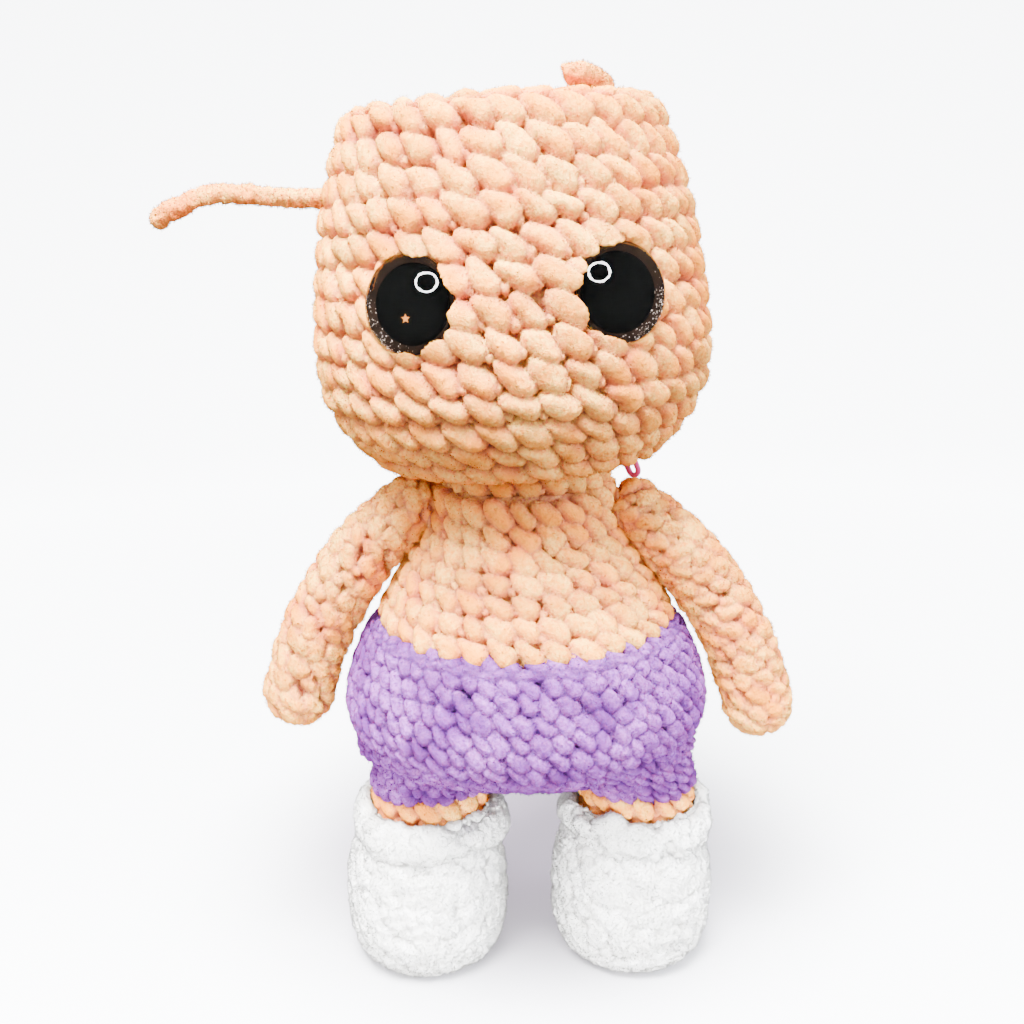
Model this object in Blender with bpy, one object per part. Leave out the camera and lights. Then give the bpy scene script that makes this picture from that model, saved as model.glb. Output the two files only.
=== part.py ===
"""A crocheted doll of thick velvet yarn, about 265 mm tall, standing on its two soles.

The doll faces -Y, +Z is up, and the origin lies on the floor midway between its shoes.
Each colour of fabric is a shell of its own, and the stuffing inside it is a solid of its own.
"""
import math

import bmesh
import bpy
from mathutils import Matrix, Vector

MM = 0.001

# Clearances and mesh fineness
GAP = 0.3 * MM                  # between two pieces that touch
BALL_GAP = 0.5 * MM             # the same between round seats, whose flat faces lie nearer
OVERRUN = 10 * MM               # how far a cutter runs past what it cuts
BODY_SIDES = 24
BALL_STEPS = 14
LIMB_SIDES = 16
END_STEPS = 3                   # rings in the rounded end of an arm, or across a seam
EYE_SIDES = 18
DOME_STEPS = 4
MARKER_SIDES = 8
MARKER_BEND_STEPS = 6
YARN_RESOLUTION = 2
YARN_STEPS = 1.6                # diameters from one ring of a yarn to the next
CURVE_PARTS = 12

# Fabric thickness of each crocheted cover
HEAD_FABRIC = 6.0 * MM
BODY_FABRIC = 5.0 * MM
LEG_FABRIC = 4.5 * MM
ARM_FABRIC = 4.2 * MM

# Heights above the floor where one colour of yarn gives way to the next
HEM_HEIGHT = 59.5 * MM
BAND_FOOT_HEIGHT = 46.0 * MM
WAIST_HEIGHT = 118.5 * MM

# Body: half its width at the hips, its depth against its width, and its neck
HIP_RADIUS = 55.5 * MM
BODY_DEPTH_SHARE = 0.9
BODY_FOOT_HEIGHT = 65.0 * MM
NECK_HEIGHT = 157.0 * MM
NECK_SHELF_DROP = 6.8 * MM      # the stuffing's shoulder lies this far under the neck's rim
BODY_SHARES = (                 # (share of the hip radius, share of the height to the neck)
    (0.00, 0.000), (0.36, 0.012), (0.56, 0.052), (0.74, 0.102), (0.91, 0.160), (0.985, 0.220),
    (1.00, 0.280), (0.975, 0.370), (0.90, 0.490), (0.79, 0.600), (0.665, 0.735), (0.53, 0.850),
    (0.47, 0.930), (0.43, 1.000),
)

# Legs and shoes
LEG_SPREAD = 33.0 * MM          # from the middle between the legs to the middle of a leg
LEG_SHIFT = 2.0 * MM            # the legs' middle lies this far to the doll's left
LEG_SETBACK = 3.0 * MM          # the legs stand this far behind the middle of the body
LEG_RADIUS = 19.2 * MM
LEG_REACH = 26.0 * MM           # how far a leg runs up into the hips
SHOE_RADIUS = 25.6 * MM
SHOE_HEIGHT = 45.7 * MM
SHOE_SHARES = (                 # (share of the shoe's radius, share of its height)
    (0.00, 0.000), (0.62, 0.000), (0.80, 0.045), (0.935, 0.160), (1.00, 0.370),
    (0.99, 0.640), (0.93, 0.830), (0.83, 0.950), (0.74, 1.000),
)

# Shoe cuff: a soft band turned down over the top of the shoe
CUFF_RADIUS = 25.6 * MM
CUFF_FOOT_HEIGHT = 42.5 * MM
CUFF_TOP_HEIGHT = 55.5 * MM
CUFF_SHARES = (                 # (share from the leg to the cuff's radius, share of its height)
    (0.00, 0.30), (0.45, 0.00), (0.85, 0.06), (1.00, 0.42), (0.86, 0.82), (0.40, 1.00), (0.00, 0.92),
)

# Neck: the stuffing's dome, on which the head nods, and the ring of sewing yarn round it
NECK_PIVOT_DROP = 15.0 * MM     # from the neck's rim down to the middle of the dome
NECK_DOME_RADIUS = 18.2 * MM
NECK_SEAM_THICKNESS = 3.0 * MM
NECK_SEAM_HOLE_RADIUS = 9.0 * MM
NECK_SEAM_EDGE_ANGLE = math.radians(50)

# Head: it leans a little to the doll's right
HEAD_LEAN = math.radians(-2.4)
HEAD_CLEARANCE = 5.1 * MM       # from the neck's rim up to the head's underside
HEAD_RADIUS = 56.8 * MM
HEAD_HEIGHT = 100.2 * MM
HEAD_SHARES = (                 # (share of the head's radius, share of its height)
    (0.00, 0.000), (0.52, 0.000), (0.72, 0.032), (0.88, 0.125), (0.98, 0.240), (1.00, 0.370),
    (0.98, 0.520), (0.935, 0.730), (0.865, 0.880), (0.81, 0.965), (0.77, 1.000), (0.00, 1.000),
)

HEAD_ROUNDS = 14                # rounds of crochet up the head's side
ROUND_DEPTH = 2.2 * MM          # how deep the fold between two rounds lies
ROUND_CREST_SHARES = (0.25, 0.75)       # where a round is fullest, as shares of its height

# Safety eyes
EYE_RADIUS = 12.0 * MM
EYE_EDGE = 0.9 * MM             # straight rim under the dome
EYE_HEIGHT = 7.4 * MM
EYE_SPREAD = 26.6 * MM          # from the face's middle to the middle of an eye
EYE_LEVEL = 50.6 * MM           # above the head's underside
EYE_BEARING = math.radians(25)  # outwards from straight ahead, less than the head's own curve
FACE_SHIFT = 1.2 * MM           # the face's middle lies this far to the doll's left
EYE_SEAT_DEPTH = 2.0 * MM       # how deep the dome's rim lies in the stitches
PUPIL_RADIUS = 10.3 * MM
PUPIL_THICKNESS = 1.4 * MM
GLITTER_RADIUS = 11.4 * MM
GLITTER_THICKNESS = 0.5 * MM
POST_RADIUS = 2.5 * MM
POST_END_LENGTH = 2.5 * MM      # what stands out behind the washer
CLAMPED_FABRIC = 3.8 * MM       # head fabric squeezed between dome and washer
WASHER_RADIUS = 8.5 * MM
WASHER_THICKNESS = 2.2 * MM
WASHER_SLIT_CLEARANCE = 0.1 * MM

# Arms: bent tubes whose rounded ends are sewn into dents beside the neck
SHOULDER_DROP = 8.5 * MM                # from the neck's rim down to the shoulder's pivot
SHOULDER_RADIUS = 9.4 * MM
SHOULDER_DENT = 2.6 * MM
SHOULDER_FORWARD = 3.0 * MM
ARM_RADIUS = 10.6 * MM
HAND_RADIUS = 10.8 * MM
ARM_FULLEST_SHARE = 0.35
LEFT_ARM_LENGTH = 72.0 * MM
RIGHT_ARM_LENGTH = 66.0 * MM
LEFT_ARM_ANGLE = math.radians(47)       # out from straight down, at the shoulder
RIGHT_ARM_ANGLE = math.radians(49)
HAND_ANGLE = math.radians(13)           # the same at the hand
ARM_RINGS = 6
ARM_SEAM_THICKNESS = 1.4 * MM
ARM_SEAM_HOLE_ANGLE = math.radians(15)
ARM_SEAM_EDGE_ANGLE = math.radians(40)
ARM_MOUTH_RADIUS = 3.0 * MM             # where the arm was stuffed

# Stitch marker: a loop of plastic wire hung in a stitch under the back of the head
MARKER_WIRE_RADIUS = 1.0 * MM
MARKER_WIDTH = 5.8 * MM
MARKER_LENGTH = 17.0 * MM
MARKER_BEARING = math.radians(42)       # from the doll's left towards its back
MARKER_REACH = 42.0 * MM
MARKER_HOLD = 3.4 * MM                  # how much of the loop is inside the fabric

# Free yarn tails, as points that the yarn passes through
YARN_DIAMETER = 5.2 * MM
SIDE_TAIL_ROUTE = (
    (-0.0560, 0.0000, 0.2385), (-0.0625, -0.0005, 0.2386), (-0.0690, -0.0015, 0.2391),
    (-0.0760, -0.0025, 0.2397), (-0.0825, -0.0035, 0.2400), (-0.0885, -0.0040, 0.2391),
    (-0.0940, -0.0045, 0.2366), (-0.0985, -0.0050, 0.2347), (-0.1012, -0.0050, 0.2308),
)
TOP_TAIL_ROUTE = (
    (0.0240, 0.0100, 0.2664), (0.0238, 0.0040, 0.2664), (0.0232, -0.0030, 0.2664),
    (0.0222, -0.0110, 0.2663), (0.0205, -0.0190, 0.2663), (0.0180, -0.0260, 0.2664),
    (0.0145, -0.0305, 0.2666), (0.0105, -0.0325, 0.2670),
)

# Colours
PEACH = (0.86, 0.56, 0.40, 1)
PALE_PEACH = (0.90, 0.66, 0.53, 1)
LILAC = (0.46, 0.27, 0.72, 1)
WHITE = (0.86, 0.86, 0.83, 1)
STUFFING = (0.93, 0.93, 0.92, 1)
BLACK = (0.01, 0.01, 0.01, 1)
CLEAR = (0.9, 0.9, 0.9, 1)
GLITTER = (0.12, 0.07, 0.05, 1)
GREY = (0.75, 0.75, 0.75, 1)
PINK = (0.85, 0.25, 0.62, 1)
MATTE, GLOSSY = 0.9, 0.08
SHARP_ANGLE = math.radians(40)          # a steeper fold than this is shaded as an edge

SIDES = {"left": 1, "right": -1}        # the doll's own left is +X
ARMS = {"left": (LEFT_ARM_LENGTH, LEFT_ARM_ANGLE), "right": (RIGHT_ARM_LENGTH, RIGHT_ARM_ANGLE)}
NECK_PIVOT = Vector((0, 0, NECK_HEIGHT - NECK_PIVOT_DROP))
HEAD_FOOT = Vector((0, 0, NECK_HEIGHT + HEAD_CLEARANCE))


# Scene helpers

def clear_scene():
    for thing in list(bpy.data.objects):
        bpy.data.objects.remove(thing, do_unlink=True)


def material(name, colour, roughness):
    paint = bpy.data.materials.new(name)
    paint.use_nodes = True
    shader = paint.node_tree.nodes["Principled BSDF"]
    shader.inputs["Base Color"].default_value = colour
    shader.inputs["Roughness"].default_value = roughness
    paint.diffuse_color = colour
    return paint


def add(name, data, place=None):
    """An object from a mesh or a curve, put where the matrix says."""
    piece = bpy.data.objects.new(name, data)
    bpy.context.scene.collection.objects.link(piece)
    if place is not None:
        piece.matrix_world = place
    return piece


def finish(piece, colour, roughness=MATTE):
    """Gives a piece its own material and smooth shading."""
    piece.data.materials.append(material(piece.name + "_finish", colour, roughness))
    if piece.type == "MESH":
        piece.data.shade_smooth()
        piece.data.set_sharp_from_angle(angle=SHARP_ANGLE)
    return piece


def guide(piece):
    """Marks an object as a cutter, which isn't a piece of the doll."""
    piece.hide_render = True
    piece.display_type = "WIRE"
    return piece


def combine(piece, tool, operation):
    step = piece.modifiers.new(operation.lower(), "BOOLEAN")
    step.operation = operation
    step.object = tool
    step.solver = "EXACT"
    return piece


def cut(piece, *tools):
    for tool in tools:
        combine(piece, tool, "DIFFERENCE")
    return piece


# Outlines

def line_length(points):
    return sum((end - start).length for start, end in zip(points, points[1:]))


def at_share(points, share):
    """The point at a share of a line's length."""
    left = share * line_length(points)
    for start, end in zip(points, points[1:]):
        run = (end - start).length
        if left <= run:
            return start.lerp(end, left / run)
        left -= run
    return points[-1].copy()


def smooth_path(points, step):
    """Points an even step apart on a smooth curve through the given ones."""
    fine = []
    last = len(points) - 1
    for i in range(last):
        before, start = Vector(points[max(i - 1, 0)]), Vector(points[i])
        end, after = Vector(points[i + 1]), Vector(points[min(i + 2, last)])
        for part in range(CURVE_PARTS):
            t = part / CURVE_PARTS
            fine.append(0.5 * (
                2 * start + (end - before) * t
                + (2 * before - 5 * start + 4 * end - after) * t ** 2
                + (3 * start - before - 3 * end + after) * t ** 3
            ))
    fine.append(Vector(points[-1]))
    length = line_length(fine)
    count = max(round(length / step), 1)
    print(f"a yarn of {length / MM:.1f} mm")
    return [at_share(fine, number / count) for number in range(count + 1)]


def outline(shares, radius, foot, height):
    """(radius, height) points of a turned form, from a table of shares."""
    return [Vector((radius * across, foot + height * up)) for across, up in shares]


def inset(points, depth):
    """The same outline moved inwards, each stretch by the same depth. It goes from the foot up."""
    inwards = []
    for start, end in zip(points, points[1:]):
        run = (end - start).normalized()
        inwards.append(Vector((-run.y, run.x)))
    moved = []
    for i, point in enumerate(points):
        below, above = inwards[max(i - 1, 0)], inwards[min(i, len(inwards) - 1)]
        place = point + (below + above) * depth / (1 + below.dot(above))
        if point.x == 0:
            place = Vector((0, point.y + depth / above.y))
        moved.append(Vector((max(place.x, 0), place.y)))
    return moved


def radius_at(points, height):
    """Half the width of a turned form at a height."""
    for low, high in zip(points, points[1:]):
        if low.y <= height <= high.y and high.y > low.y:
            share = (height - low.y) / (high.y - low.y)
            return low.x + (high.x - low.x) * share
    return points[-1].x


def arc(radius, start, end, steps):
    """Points round the origin of an outline, with angles counted from straight up."""
    angles = [start + (end - start) * i / steps for i in range(steps + 1)]
    return [Vector((radius * math.sin(a), radius * math.cos(a))) for a in angles]


# Solids

def turned(name, points, sides, closed=False, depth_share=1.0, place=None):
    """A solid turned about Z. A closed outline makes a ring, an open one meets the axis."""
    mesh = bmesh.new()
    rings = []
    for point in points:
        if point.x < GAP and not closed:
            rings.append([mesh.verts.new((0, 0, point.y))])
            continue
        ring = []
        for i in range(sides):
            angle = 2 * math.pi * i / sides
            across = point.x * math.cos(angle)
            deep = point.x * math.sin(angle) * depth_share
            ring.append(mesh.verts.new((across, deep, point.y)))
        rings.append(ring)
    pairs = list(zip(rings, rings[1:]))
    if closed:
        pairs.append((rings[-1], rings[0]))
    for low, high in pairs:
        for i in range(sides):
            j = (i + 1) % sides
            corners = [low[i % len(low)], low[j % len(low)], high[j % len(high)], high[i % len(high)]]
            kept = list(dict.fromkeys(corners))
            if len(kept) > 2:
                mesh.faces.new(kept)
    bmesh.ops.recalc_face_normals(mesh, faces=mesh.faces)
    data = bpy.data.meshes.new(name)
    mesh.to_mesh(data)
    mesh.free()
    return add(name, data, place)


def lofted(name, centres, directions, radii, place=None):
    """A closed tube through rings that stand square to its own run, with a point at each end."""
    mesh = bmesh.new()
    rings = []
    last = len(centres) - 1
    for i, (centre, direction, radius) in enumerate(zip(centres, directions, radii)):
        if i in (0, last):
            rings.append([mesh.verts.new(centre)])
            continue
        side = Vector((0, 1, 0))
        across = direction.cross(side)
        ring = []
        for k in range(LIMB_SIDES):
            angle = 2 * math.pi * k / LIMB_SIDES
            outward = side * math.cos(angle) + across * math.sin(angle)
            ring.append(mesh.verts.new(centre + radius * outward))
        rings.append(ring)
    for low, high in zip(rings, rings[1:]):
        for k in range(LIMB_SIDES):
            j = (k + 1) % LIMB_SIDES
            corners = [low[k % len(low)], low[j % len(low)], high[j % len(high)], high[k % len(high)]]
            mesh.faces.new(list(dict.fromkeys(corners)))
    bmesh.ops.recalc_face_normals(mesh, faces=mesh.faces)
    data = bpy.data.meshes.new(name)
    mesh.to_mesh(data)
    mesh.free()
    return add(name, data, place)


def ball(name, radius, centre):
    half_turn = arc(radius, math.pi, 0, BALL_STEPS)
    half_turn[0].x = half_turn[-1].x = 0
    return turned(name, half_turn, BODY_SIDES, place=Matrix.Translation(centre))


def slab(name, low, high):
    """A box wide enough to take in the whole doll, between two heights."""
    reach = 2 * HIP_RADIUS
    data = bpy.data.meshes.new(name)
    mesh = bmesh.new()
    bmesh.ops.create_cube(mesh, size=1)
    bmesh.ops.scale(mesh, verts=mesh.verts, vec=(2 * reach, 2 * reach, high - low))
    bmesh.ops.translate(mesh, verts=mesh.verts, vec=(0, 0, (low + high) / 2))
    mesh.to_mesh(data)
    mesh.free()
    return guide(add(name, data))


def yarn(name, route):
    """A free stretch of yarn along a smooth curve through its route."""
    curve = bpy.data.curves.new(name, "CURVE")
    curve.dimensions = "3D"
    curve.bevel_depth = YARN_DIAMETER / 2
    curve.bevel_resolution = YARN_RESOLUTION
    curve.render_resolution_u = 0
    curve.use_fill_caps = True
    points = smooth_path(route, YARN_STEPS * YARN_DIAMETER)
    spline = curve.splines.new("POLY")
    spline.points.add(len(points) - 1)
    for slot, point in zip(spline.points, points):
        slot.co = (*point, 1)
    return add(name, curve)


# Body, from the hem of the shorts to the neck

def body_outline():
    return outline(BODY_SHARES, HIP_RADIUS, BODY_FOOT_HEIGHT, NECK_HEIGHT - BODY_FOOT_HEIGHT)


def leg_place(sign):
    return Matrix.Translation((LEG_SHIFT + sign * LEG_SPREAD, LEG_SETBACK, 0))


def body_form(name, depth, top):
    """The hips, waist and chest with the tops of both legs, moved inwards by a depth."""
    side = [point for point in inset(body_outline(), depth) if point.y < top]
    rim = radius_at(inset(body_outline(), depth), top)
    side += [Vector((rim, top)), Vector((0, top))]
    form = turned(name, side, BODY_SIDES, depth_share=BODY_DEPTH_SHARE)
    foot = HEM_HEIGHT - OVERRUN
    for label, sign in SIDES.items():
        radius = LEG_RADIUS - depth
        rise = HEM_HEIGHT + LEG_REACH - depth
        leg = [Vector((0, foot)), Vector((radius, foot)), Vector((radius, HEM_HEIGHT))]
        leg += [Vector((radius, rise - OVERRUN)), Vector((0, rise))]
        spot = leg_place(sign)
        combine(form, guide(turned(name + "_leg_" + label, leg, LIMB_SIDES, place=spot)), "UNION")
    return form


def make_body(arm_rooms):
    shelf = NECK_HEIGHT - NECK_SHELF_DROP
    seam_seat = NECK_DOME_RADIUS + 2 * BALL_GAP + NECK_SEAM_THICKNESS
    hollow = guide(body_form("body_hollow", BODY_FABRIC, shelf + GAP))
    seat = guide(ball("neck_seat", seam_seat, NECK_PIVOT))
    above_waist = slab("above_waist", WAIST_HEIGHT + GAP / 2, NECK_HEIGHT + OVERRUN)
    below_waist = slab("below_waist", HEM_HEIGHT, WAIST_HEIGHT - GAP / 2)

    torso = body_form("torso_cover", 0, NECK_HEIGHT)
    combine(torso, above_waist, "INTERSECT")
    cut(torso, hollow, seat, *arm_rooms)
    finish(torso, PEACH)

    shorts = body_form("shorts_cover", 0, NECK_HEIGHT)
    combine(shorts, below_waist, "INTERSECT")
    cut(shorts, hollow, *arm_rooms)
    finish(shorts, LILAC)

    filling = body_form("body_stuffing", BODY_FABRIC + GAP, shelf)
    dome = guide(ball("neck_dome", NECK_DOME_RADIUS, NECK_PIVOT))
    combine(filling, dome, "UNION")
    combine(filling, slab("above_hem", HEM_HEIGHT, NECK_HEIGHT + 2 * OVERRUN), "INTERSECT")
    finish(filling, STUFFING)


# Legs, shoes and cuffs

def make_leg(label, sign):
    spot = leg_place(sign)
    inner = LEG_RADIUS - LEG_FABRIC
    band_top, band_foot = HEM_HEIGHT - GAP, BAND_FOOT_HEIGHT
    ankle = SHOE_RADIUS * SHOE_SHARES[-1][0]

    band = [Vector((inner, band_foot)), Vector((ankle, band_foot))]
    band += [Vector((LEG_RADIUS, band_top)), Vector((inner, band_top))]
    finish(turned(label + "_leg_band", band, LIMB_SIDES, closed=True, place=spot), PEACH)

    outer = outline(SHOE_SHARES, SHOE_RADIUS, 0, SHOE_HEIGHT)
    hollow = [point for point in inset(outer, LEG_FABRIC) if point.y < SHOE_HEIGHT - LEG_FABRIC]
    hollow.append(Vector((inner, SHOE_HEIGHT)))
    finish(turned(label + "_shoe", outer + hollow[::-1], LIMB_SIDES, place=spot), WHITE)

    shoe_room = inset(outer, LEG_FABRIC + GAP)
    filling = [point for point in shoe_room if point.y < SHOE_HEIGHT - LEG_FABRIC]
    filling += [Vector((inner - GAP, SHOE_HEIGHT)), Vector((inner - GAP, band_top))]
    filling.append(Vector((0, band_top)))
    finish(turned(label + "_leg_stuffing", filling, LIMB_SIDES, place=spot), STUFFING)

    wall = LEG_RADIUS + GAP
    cuff_height = CUFF_TOP_HEIGHT - CUFF_FOOT_HEIGHT
    cuff = []
    for out, up in CUFF_SHARES:
        cuff.append(Vector((wall + (CUFF_RADIUS - wall) * out, CUFF_FOOT_HEIGHT + cuff_height * up)))
    room = [point + Vector((GAP, 0)) for point in inset(outer, -GAP)[1:]]
    room = [Vector((0, -OVERRUN)), Vector((room[0].x, -OVERRUN))] + room + [Vector((0, room[-1].y))]
    ring = turned(label + "_shoe_cuff", cuff, LIMB_SIDES, closed=True, place=spot)
    cut(ring, guide(turned(label + "_cuff_room", room, LIMB_SIDES, place=spot)))
    finish(ring, WHITE)


# Arms

def arm_path(label):
    """Places, directions and radii along an arm, from the shoulder's ball to the hand's."""
    length, start = ARMS[label]
    turn = start - HAND_ANGLE
    bend = length / turn
    places, runs, radii = [], [], []
    for i in range(ARM_RINGS + 1):
        share = i / ARM_RINGS
        angle = start - turn * share
        out = bend * (math.cos(angle) - math.cos(start))
        down = bend * (math.sin(start) - math.sin(angle))
        places.append(Vector((out, 0, -down)))
        runs.append(Vector((math.sin(angle), 0, -math.cos(angle))))
        if share < ARM_FULLEST_SHARE:
            swell = math.sin(math.pi / 2 * share / ARM_FULLEST_SHARE)
            radii.append(SHOULDER_RADIUS + (ARM_RADIUS - SHOULDER_RADIUS) * swell)
        else:
            rest_share = (share - ARM_FULLEST_SHARE) / (1 - ARM_FULLEST_SHARE)
            radii.append(ARM_RADIUS + (HAND_RADIUS - ARM_RADIUS) * rest_share)
    return places, runs, radii


def arm_form(label, kind, depth, place):
    """The arm as one closed form, moved inwards by a depth, with round ends."""
    places, runs, radii = arm_path(label)
    centres, directions, widths = [], [], []
    for step in range(END_STEPS):
        angle = math.pi / 2 * step / END_STEPS
        radius = radii[0] - depth
        centres.append(places[0] - runs[0] * radius * math.cos(angle))
        directions.append(runs[0])
        widths.append(radius * math.sin(angle))
    centres += places
    directions += runs
    widths += [radius - depth for radius in radii]
    for step in range(END_STEPS):
        angle = math.pi / 2 * (step + 1) / END_STEPS
        radius = radii[-1] - depth
        centres.append(places[-1] + runs[-1] * radius * math.sin(angle))
        directions.append(runs[-1])
        widths.append(radius * math.cos(angle))
    return lofted(f"{label}_arm_{kind}", centres, directions, widths, place)


def shoulder_place(sign):
    """The shoulder's pivot, so that the arm's end and its seam dent the torso a little."""
    height = NECK_HEIGHT - SHOULDER_DROP
    chest = radius_at(body_outline(), height)
    reach = SHOULDER_RADIUS + 2 * GAP + ARM_SEAM_THICKNESS
    spot = (sign * (chest + reach - SHOULDER_DENT), -SHOULDER_FORWARD, height)
    return Matrix.Translation(spot)


def flip(piece, sign):
    """Mirrors a mesh made for the doll's left, for its right side."""
    if sign < 0:
        piece.data.transform(Matrix.Diagonal((sign, 1, 1, 1)))
        piece.data.flip_normals()
    return piece


def make_arm_room(label, sign):
    """What the arm sweeps as it swings, turned about the swing's own axis."""
    places, runs, radii = arm_path(label)
    reach = SHOULDER_RADIUS + 2 * GAP + ARM_SEAM_THICKNESS
    room = arc(reach, math.pi, math.pi - ARM_SEAM_EDGE_ANGLE, 2 * END_STEPS)
    room[0].x = 0
    for place, run, radius in zip(places, runs, radii):
        inner = place + Vector((run.z, 0, -run.x)) * (radius + GAP)
        if -inner.z > room[-1].x:
            room.append(Vector((-inner.z, inner.x)))
    far = max(point.y for point in room) + HAND_RADIUS
    room += [Vector((room[-1].x, far)), Vector((0, far))]
    tool = turned(label + "_arm_room", room, BODY_SIDES)
    tool.data.transform(Matrix.Rotation(math.pi / 2, 4, "Y"))
    flip(tool, sign)
    tool.matrix_world = shoulder_place(sign)
    return guide(tool)


def make_arm(label, sign):
    place = shoulder_place(sign)
    to_body = Matrix.Rotation(-math.pi / 2, 4, "Y")

    cover = flip(arm_form(label, "cover", 0, place), sign)
    hollow = guide(flip(arm_form(label, "hollow", ARM_FABRIC, place), sign))
    bore_end = SHOULDER_RADIUS + OVERRUN
    bore = [Vector((0, 0)), Vector((ARM_MOUTH_RADIUS, 0))]
    bore += [Vector((ARM_MOUTH_RADIUS, bore_end)), Vector((0, bore_end))]
    mouth = turned(label + "_arm_mouth", bore, LIMB_SIDES)
    mouth.data.transform(to_body)
    mouth = guide(flip(mouth, sign))
    mouth.matrix_world = place
    finish(cut(cover, hollow, mouth), PEACH)

    filling = flip(arm_form(label, "stuffing", ARM_FABRIC + GAP, place), sign)
    finish(filling, STUFFING)

    near = SHOULDER_RADIUS + GAP
    inner = arc(near, ARM_SEAM_HOLE_ANGLE, ARM_SEAM_EDGE_ANGLE, END_STEPS)
    outer = arc(near + ARM_SEAM_THICKNESS, ARM_SEAM_EDGE_ANGLE, ARM_SEAM_HOLE_ANGLE, END_STEPS)
    seam = turned(label + "_arm_seam", inner + outer, LIMB_SIDES, closed=True)
    seam.data.transform(to_body)
    flip(seam, sign)
    seam.matrix_world = place
    finish(seam, PALE_PEACH)


# Head

def head_frame():
    """The head's own frame: it leans about the neck's pivot, and its foot lies at Z = 0."""
    lean = Matrix.Rotation(HEAD_LEAN, 4, "Y")
    return Matrix.Translation(NECK_PIVOT) @ lean @ Matrix.Translation(HEAD_FOOT - NECK_PIVOT)


def head_outline():
    return outline(HEAD_SHARES, HEAD_RADIUS, 0, HEAD_HEIGHT)


def head_rounds():
    """The head's side, from the underside's edge to the crown's, with a fold between rounds."""
    side = head_outline()[1:-1]
    folds = inset(side, ROUND_DEPTH)
    points = [side[0]]
    for number in range(HEAD_ROUNDS):
        if number > 0:
            points.append(at_share(folds, number / HEAD_ROUNDS))
        for crest in ROUND_CREST_SHARES:
            points.append(at_share(side, (number + crest) / HEAD_ROUNDS))
    points.append(side[-1])
    return points


def eye_frame(sign):
    """An eye's frame: Z points out of the face, and the dome's flat back lies at Z = 0."""
    side = head_outline()
    radius = radius_at(side, EYE_LEVEL)
    low, high = radius_at(side, EYE_LEVEL - EYE_RADIUS), radius_at(side, EYE_LEVEL + EYE_RADIUS)
    rise = math.atan2(low - high, 2 * EYE_RADIUS)
    outward = Vector((
        sign * math.sin(EYE_BEARING) * math.cos(rise),
        -math.cos(EYE_BEARING) * math.cos(rise),
        math.sin(rise),
    ))
    across = FACE_SHIFT + sign * EYE_SPREAD
    surface = Vector((across, -math.sqrt(radius ** 2 - across ** 2), EYE_LEVEL))
    turn = outward.to_track_quat("Z", "Y").to_matrix().to_4x4()
    return head_frame() @ Matrix.Translation(surface - outward * EYE_SEAT_DEPTH) @ turn


def make_eye(label, sign):
    """Makes one safety eye and returns the cutters that seat it in the fabric and the stuffing."""
    place = eye_frame(sign)
    cap = EYE_HEIGHT - EYE_EDGE
    curve_radius = (EYE_RADIUS ** 2 + cap ** 2) / (2 * cap)
    half_angle = math.asin(EYE_RADIUS / curve_radius)
    lift = Vector((0, EYE_HEIGHT - curve_radius))
    dome = [point + lift for point in arc(curve_radius, 0, half_angle, DOME_STEPS)]
    dome[0].x = 0
    glitter_room = GLITTER_THICKNESS + GAP
    pupil_top = glitter_room + PUPIL_THICKNESS
    recess = [Vector((GLITTER_RADIUS + GAP, 0)), Vector((GLITTER_RADIUS + GAP, glitter_room))]
    recess += [Vector((PUPIL_RADIUS + GAP, glitter_room)), Vector((PUPIL_RADIUS + GAP, pupil_top + GAP))]
    recess.append(Vector((0, pupil_top + GAP)))
    lens = turned(label + "_eye_dome", dome + [Vector((EYE_RADIUS, 0))] + recess, EYE_SIDES, place=place)
    finish(lens, CLEAR, GLOSSY)

    washer_front = -(2 * GAP + CLAMPED_FABRIC)
    washer_back = washer_front - WASHER_THICKNESS
    post_end = washer_back - POST_END_LENGTH
    pupil = [Vector((0, pupil_top)), Vector((PUPIL_RADIUS, pupil_top))]
    pupil += [Vector((PUPIL_RADIUS, glitter_room)), Vector((POST_RADIUS, glitter_room))]
    pupil += [Vector((POST_RADIUS, post_end)), Vector((0, post_end))]
    finish(turned(label + "_eye_pupil", pupil, EYE_SIDES, place=place), BLACK, GLOSSY)

    hole = POST_RADIUS + WASHER_SLIT_CLEARANCE
    disc = [Vector((hole, 0)), Vector((GLITTER_RADIUS, 0))]
    disc += [Vector((GLITTER_RADIUS, GLITTER_THICKNESS)), Vector((hole, GLITTER_THICKNESS))]
    finish(turned(label + "_eye_glitter", disc, EYE_SIDES, closed=True, place=place), GLITTER, GLOSSY)

    washer = [Vector((hole, washer_back)), Vector((WASHER_RADIUS, washer_back))]
    washer += [Vector((WASHER_RADIUS, washer_front)), Vector((hole, washer_front))]
    finish(turned(label + "_eye_washer", washer, EYE_SIDES, closed=True, place=place), GREY, GLOSSY)

    inside = washer_back - POST_END_LENGTH - GAP
    clamp = -(GAP + CLAMPED_FABRIC)
    rim, post, room = EYE_RADIUS + GAP, POST_RADIUS + GAP, WASHER_RADIUS + GAP
    seat = [Vector((0, OVERRUN)), Vector((rim, OVERRUN)), Vector((rim, -GAP)), Vector((post, -GAP))]
    seat += [Vector((post, clamp)), Vector((room, clamp)), Vector((room, inside)), Vector((0, inside))]
    cover_tool = guide(turned(label + "_eye_seat", seat, EYE_SIDES, place=place))
    pocket = [Vector((0, OVERRUN)), Vector((room, OVERRUN)), Vector((room, washer_back - GAP))]
    pocket += [Vector((post, washer_back - GAP)), Vector((post, inside)), Vector((0, inside))]
    filling_tool = guide(turned(label + "_washer_pocket", pocket, EYE_SIDES, place=place))
    return cover_tool, filling_tool


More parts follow.
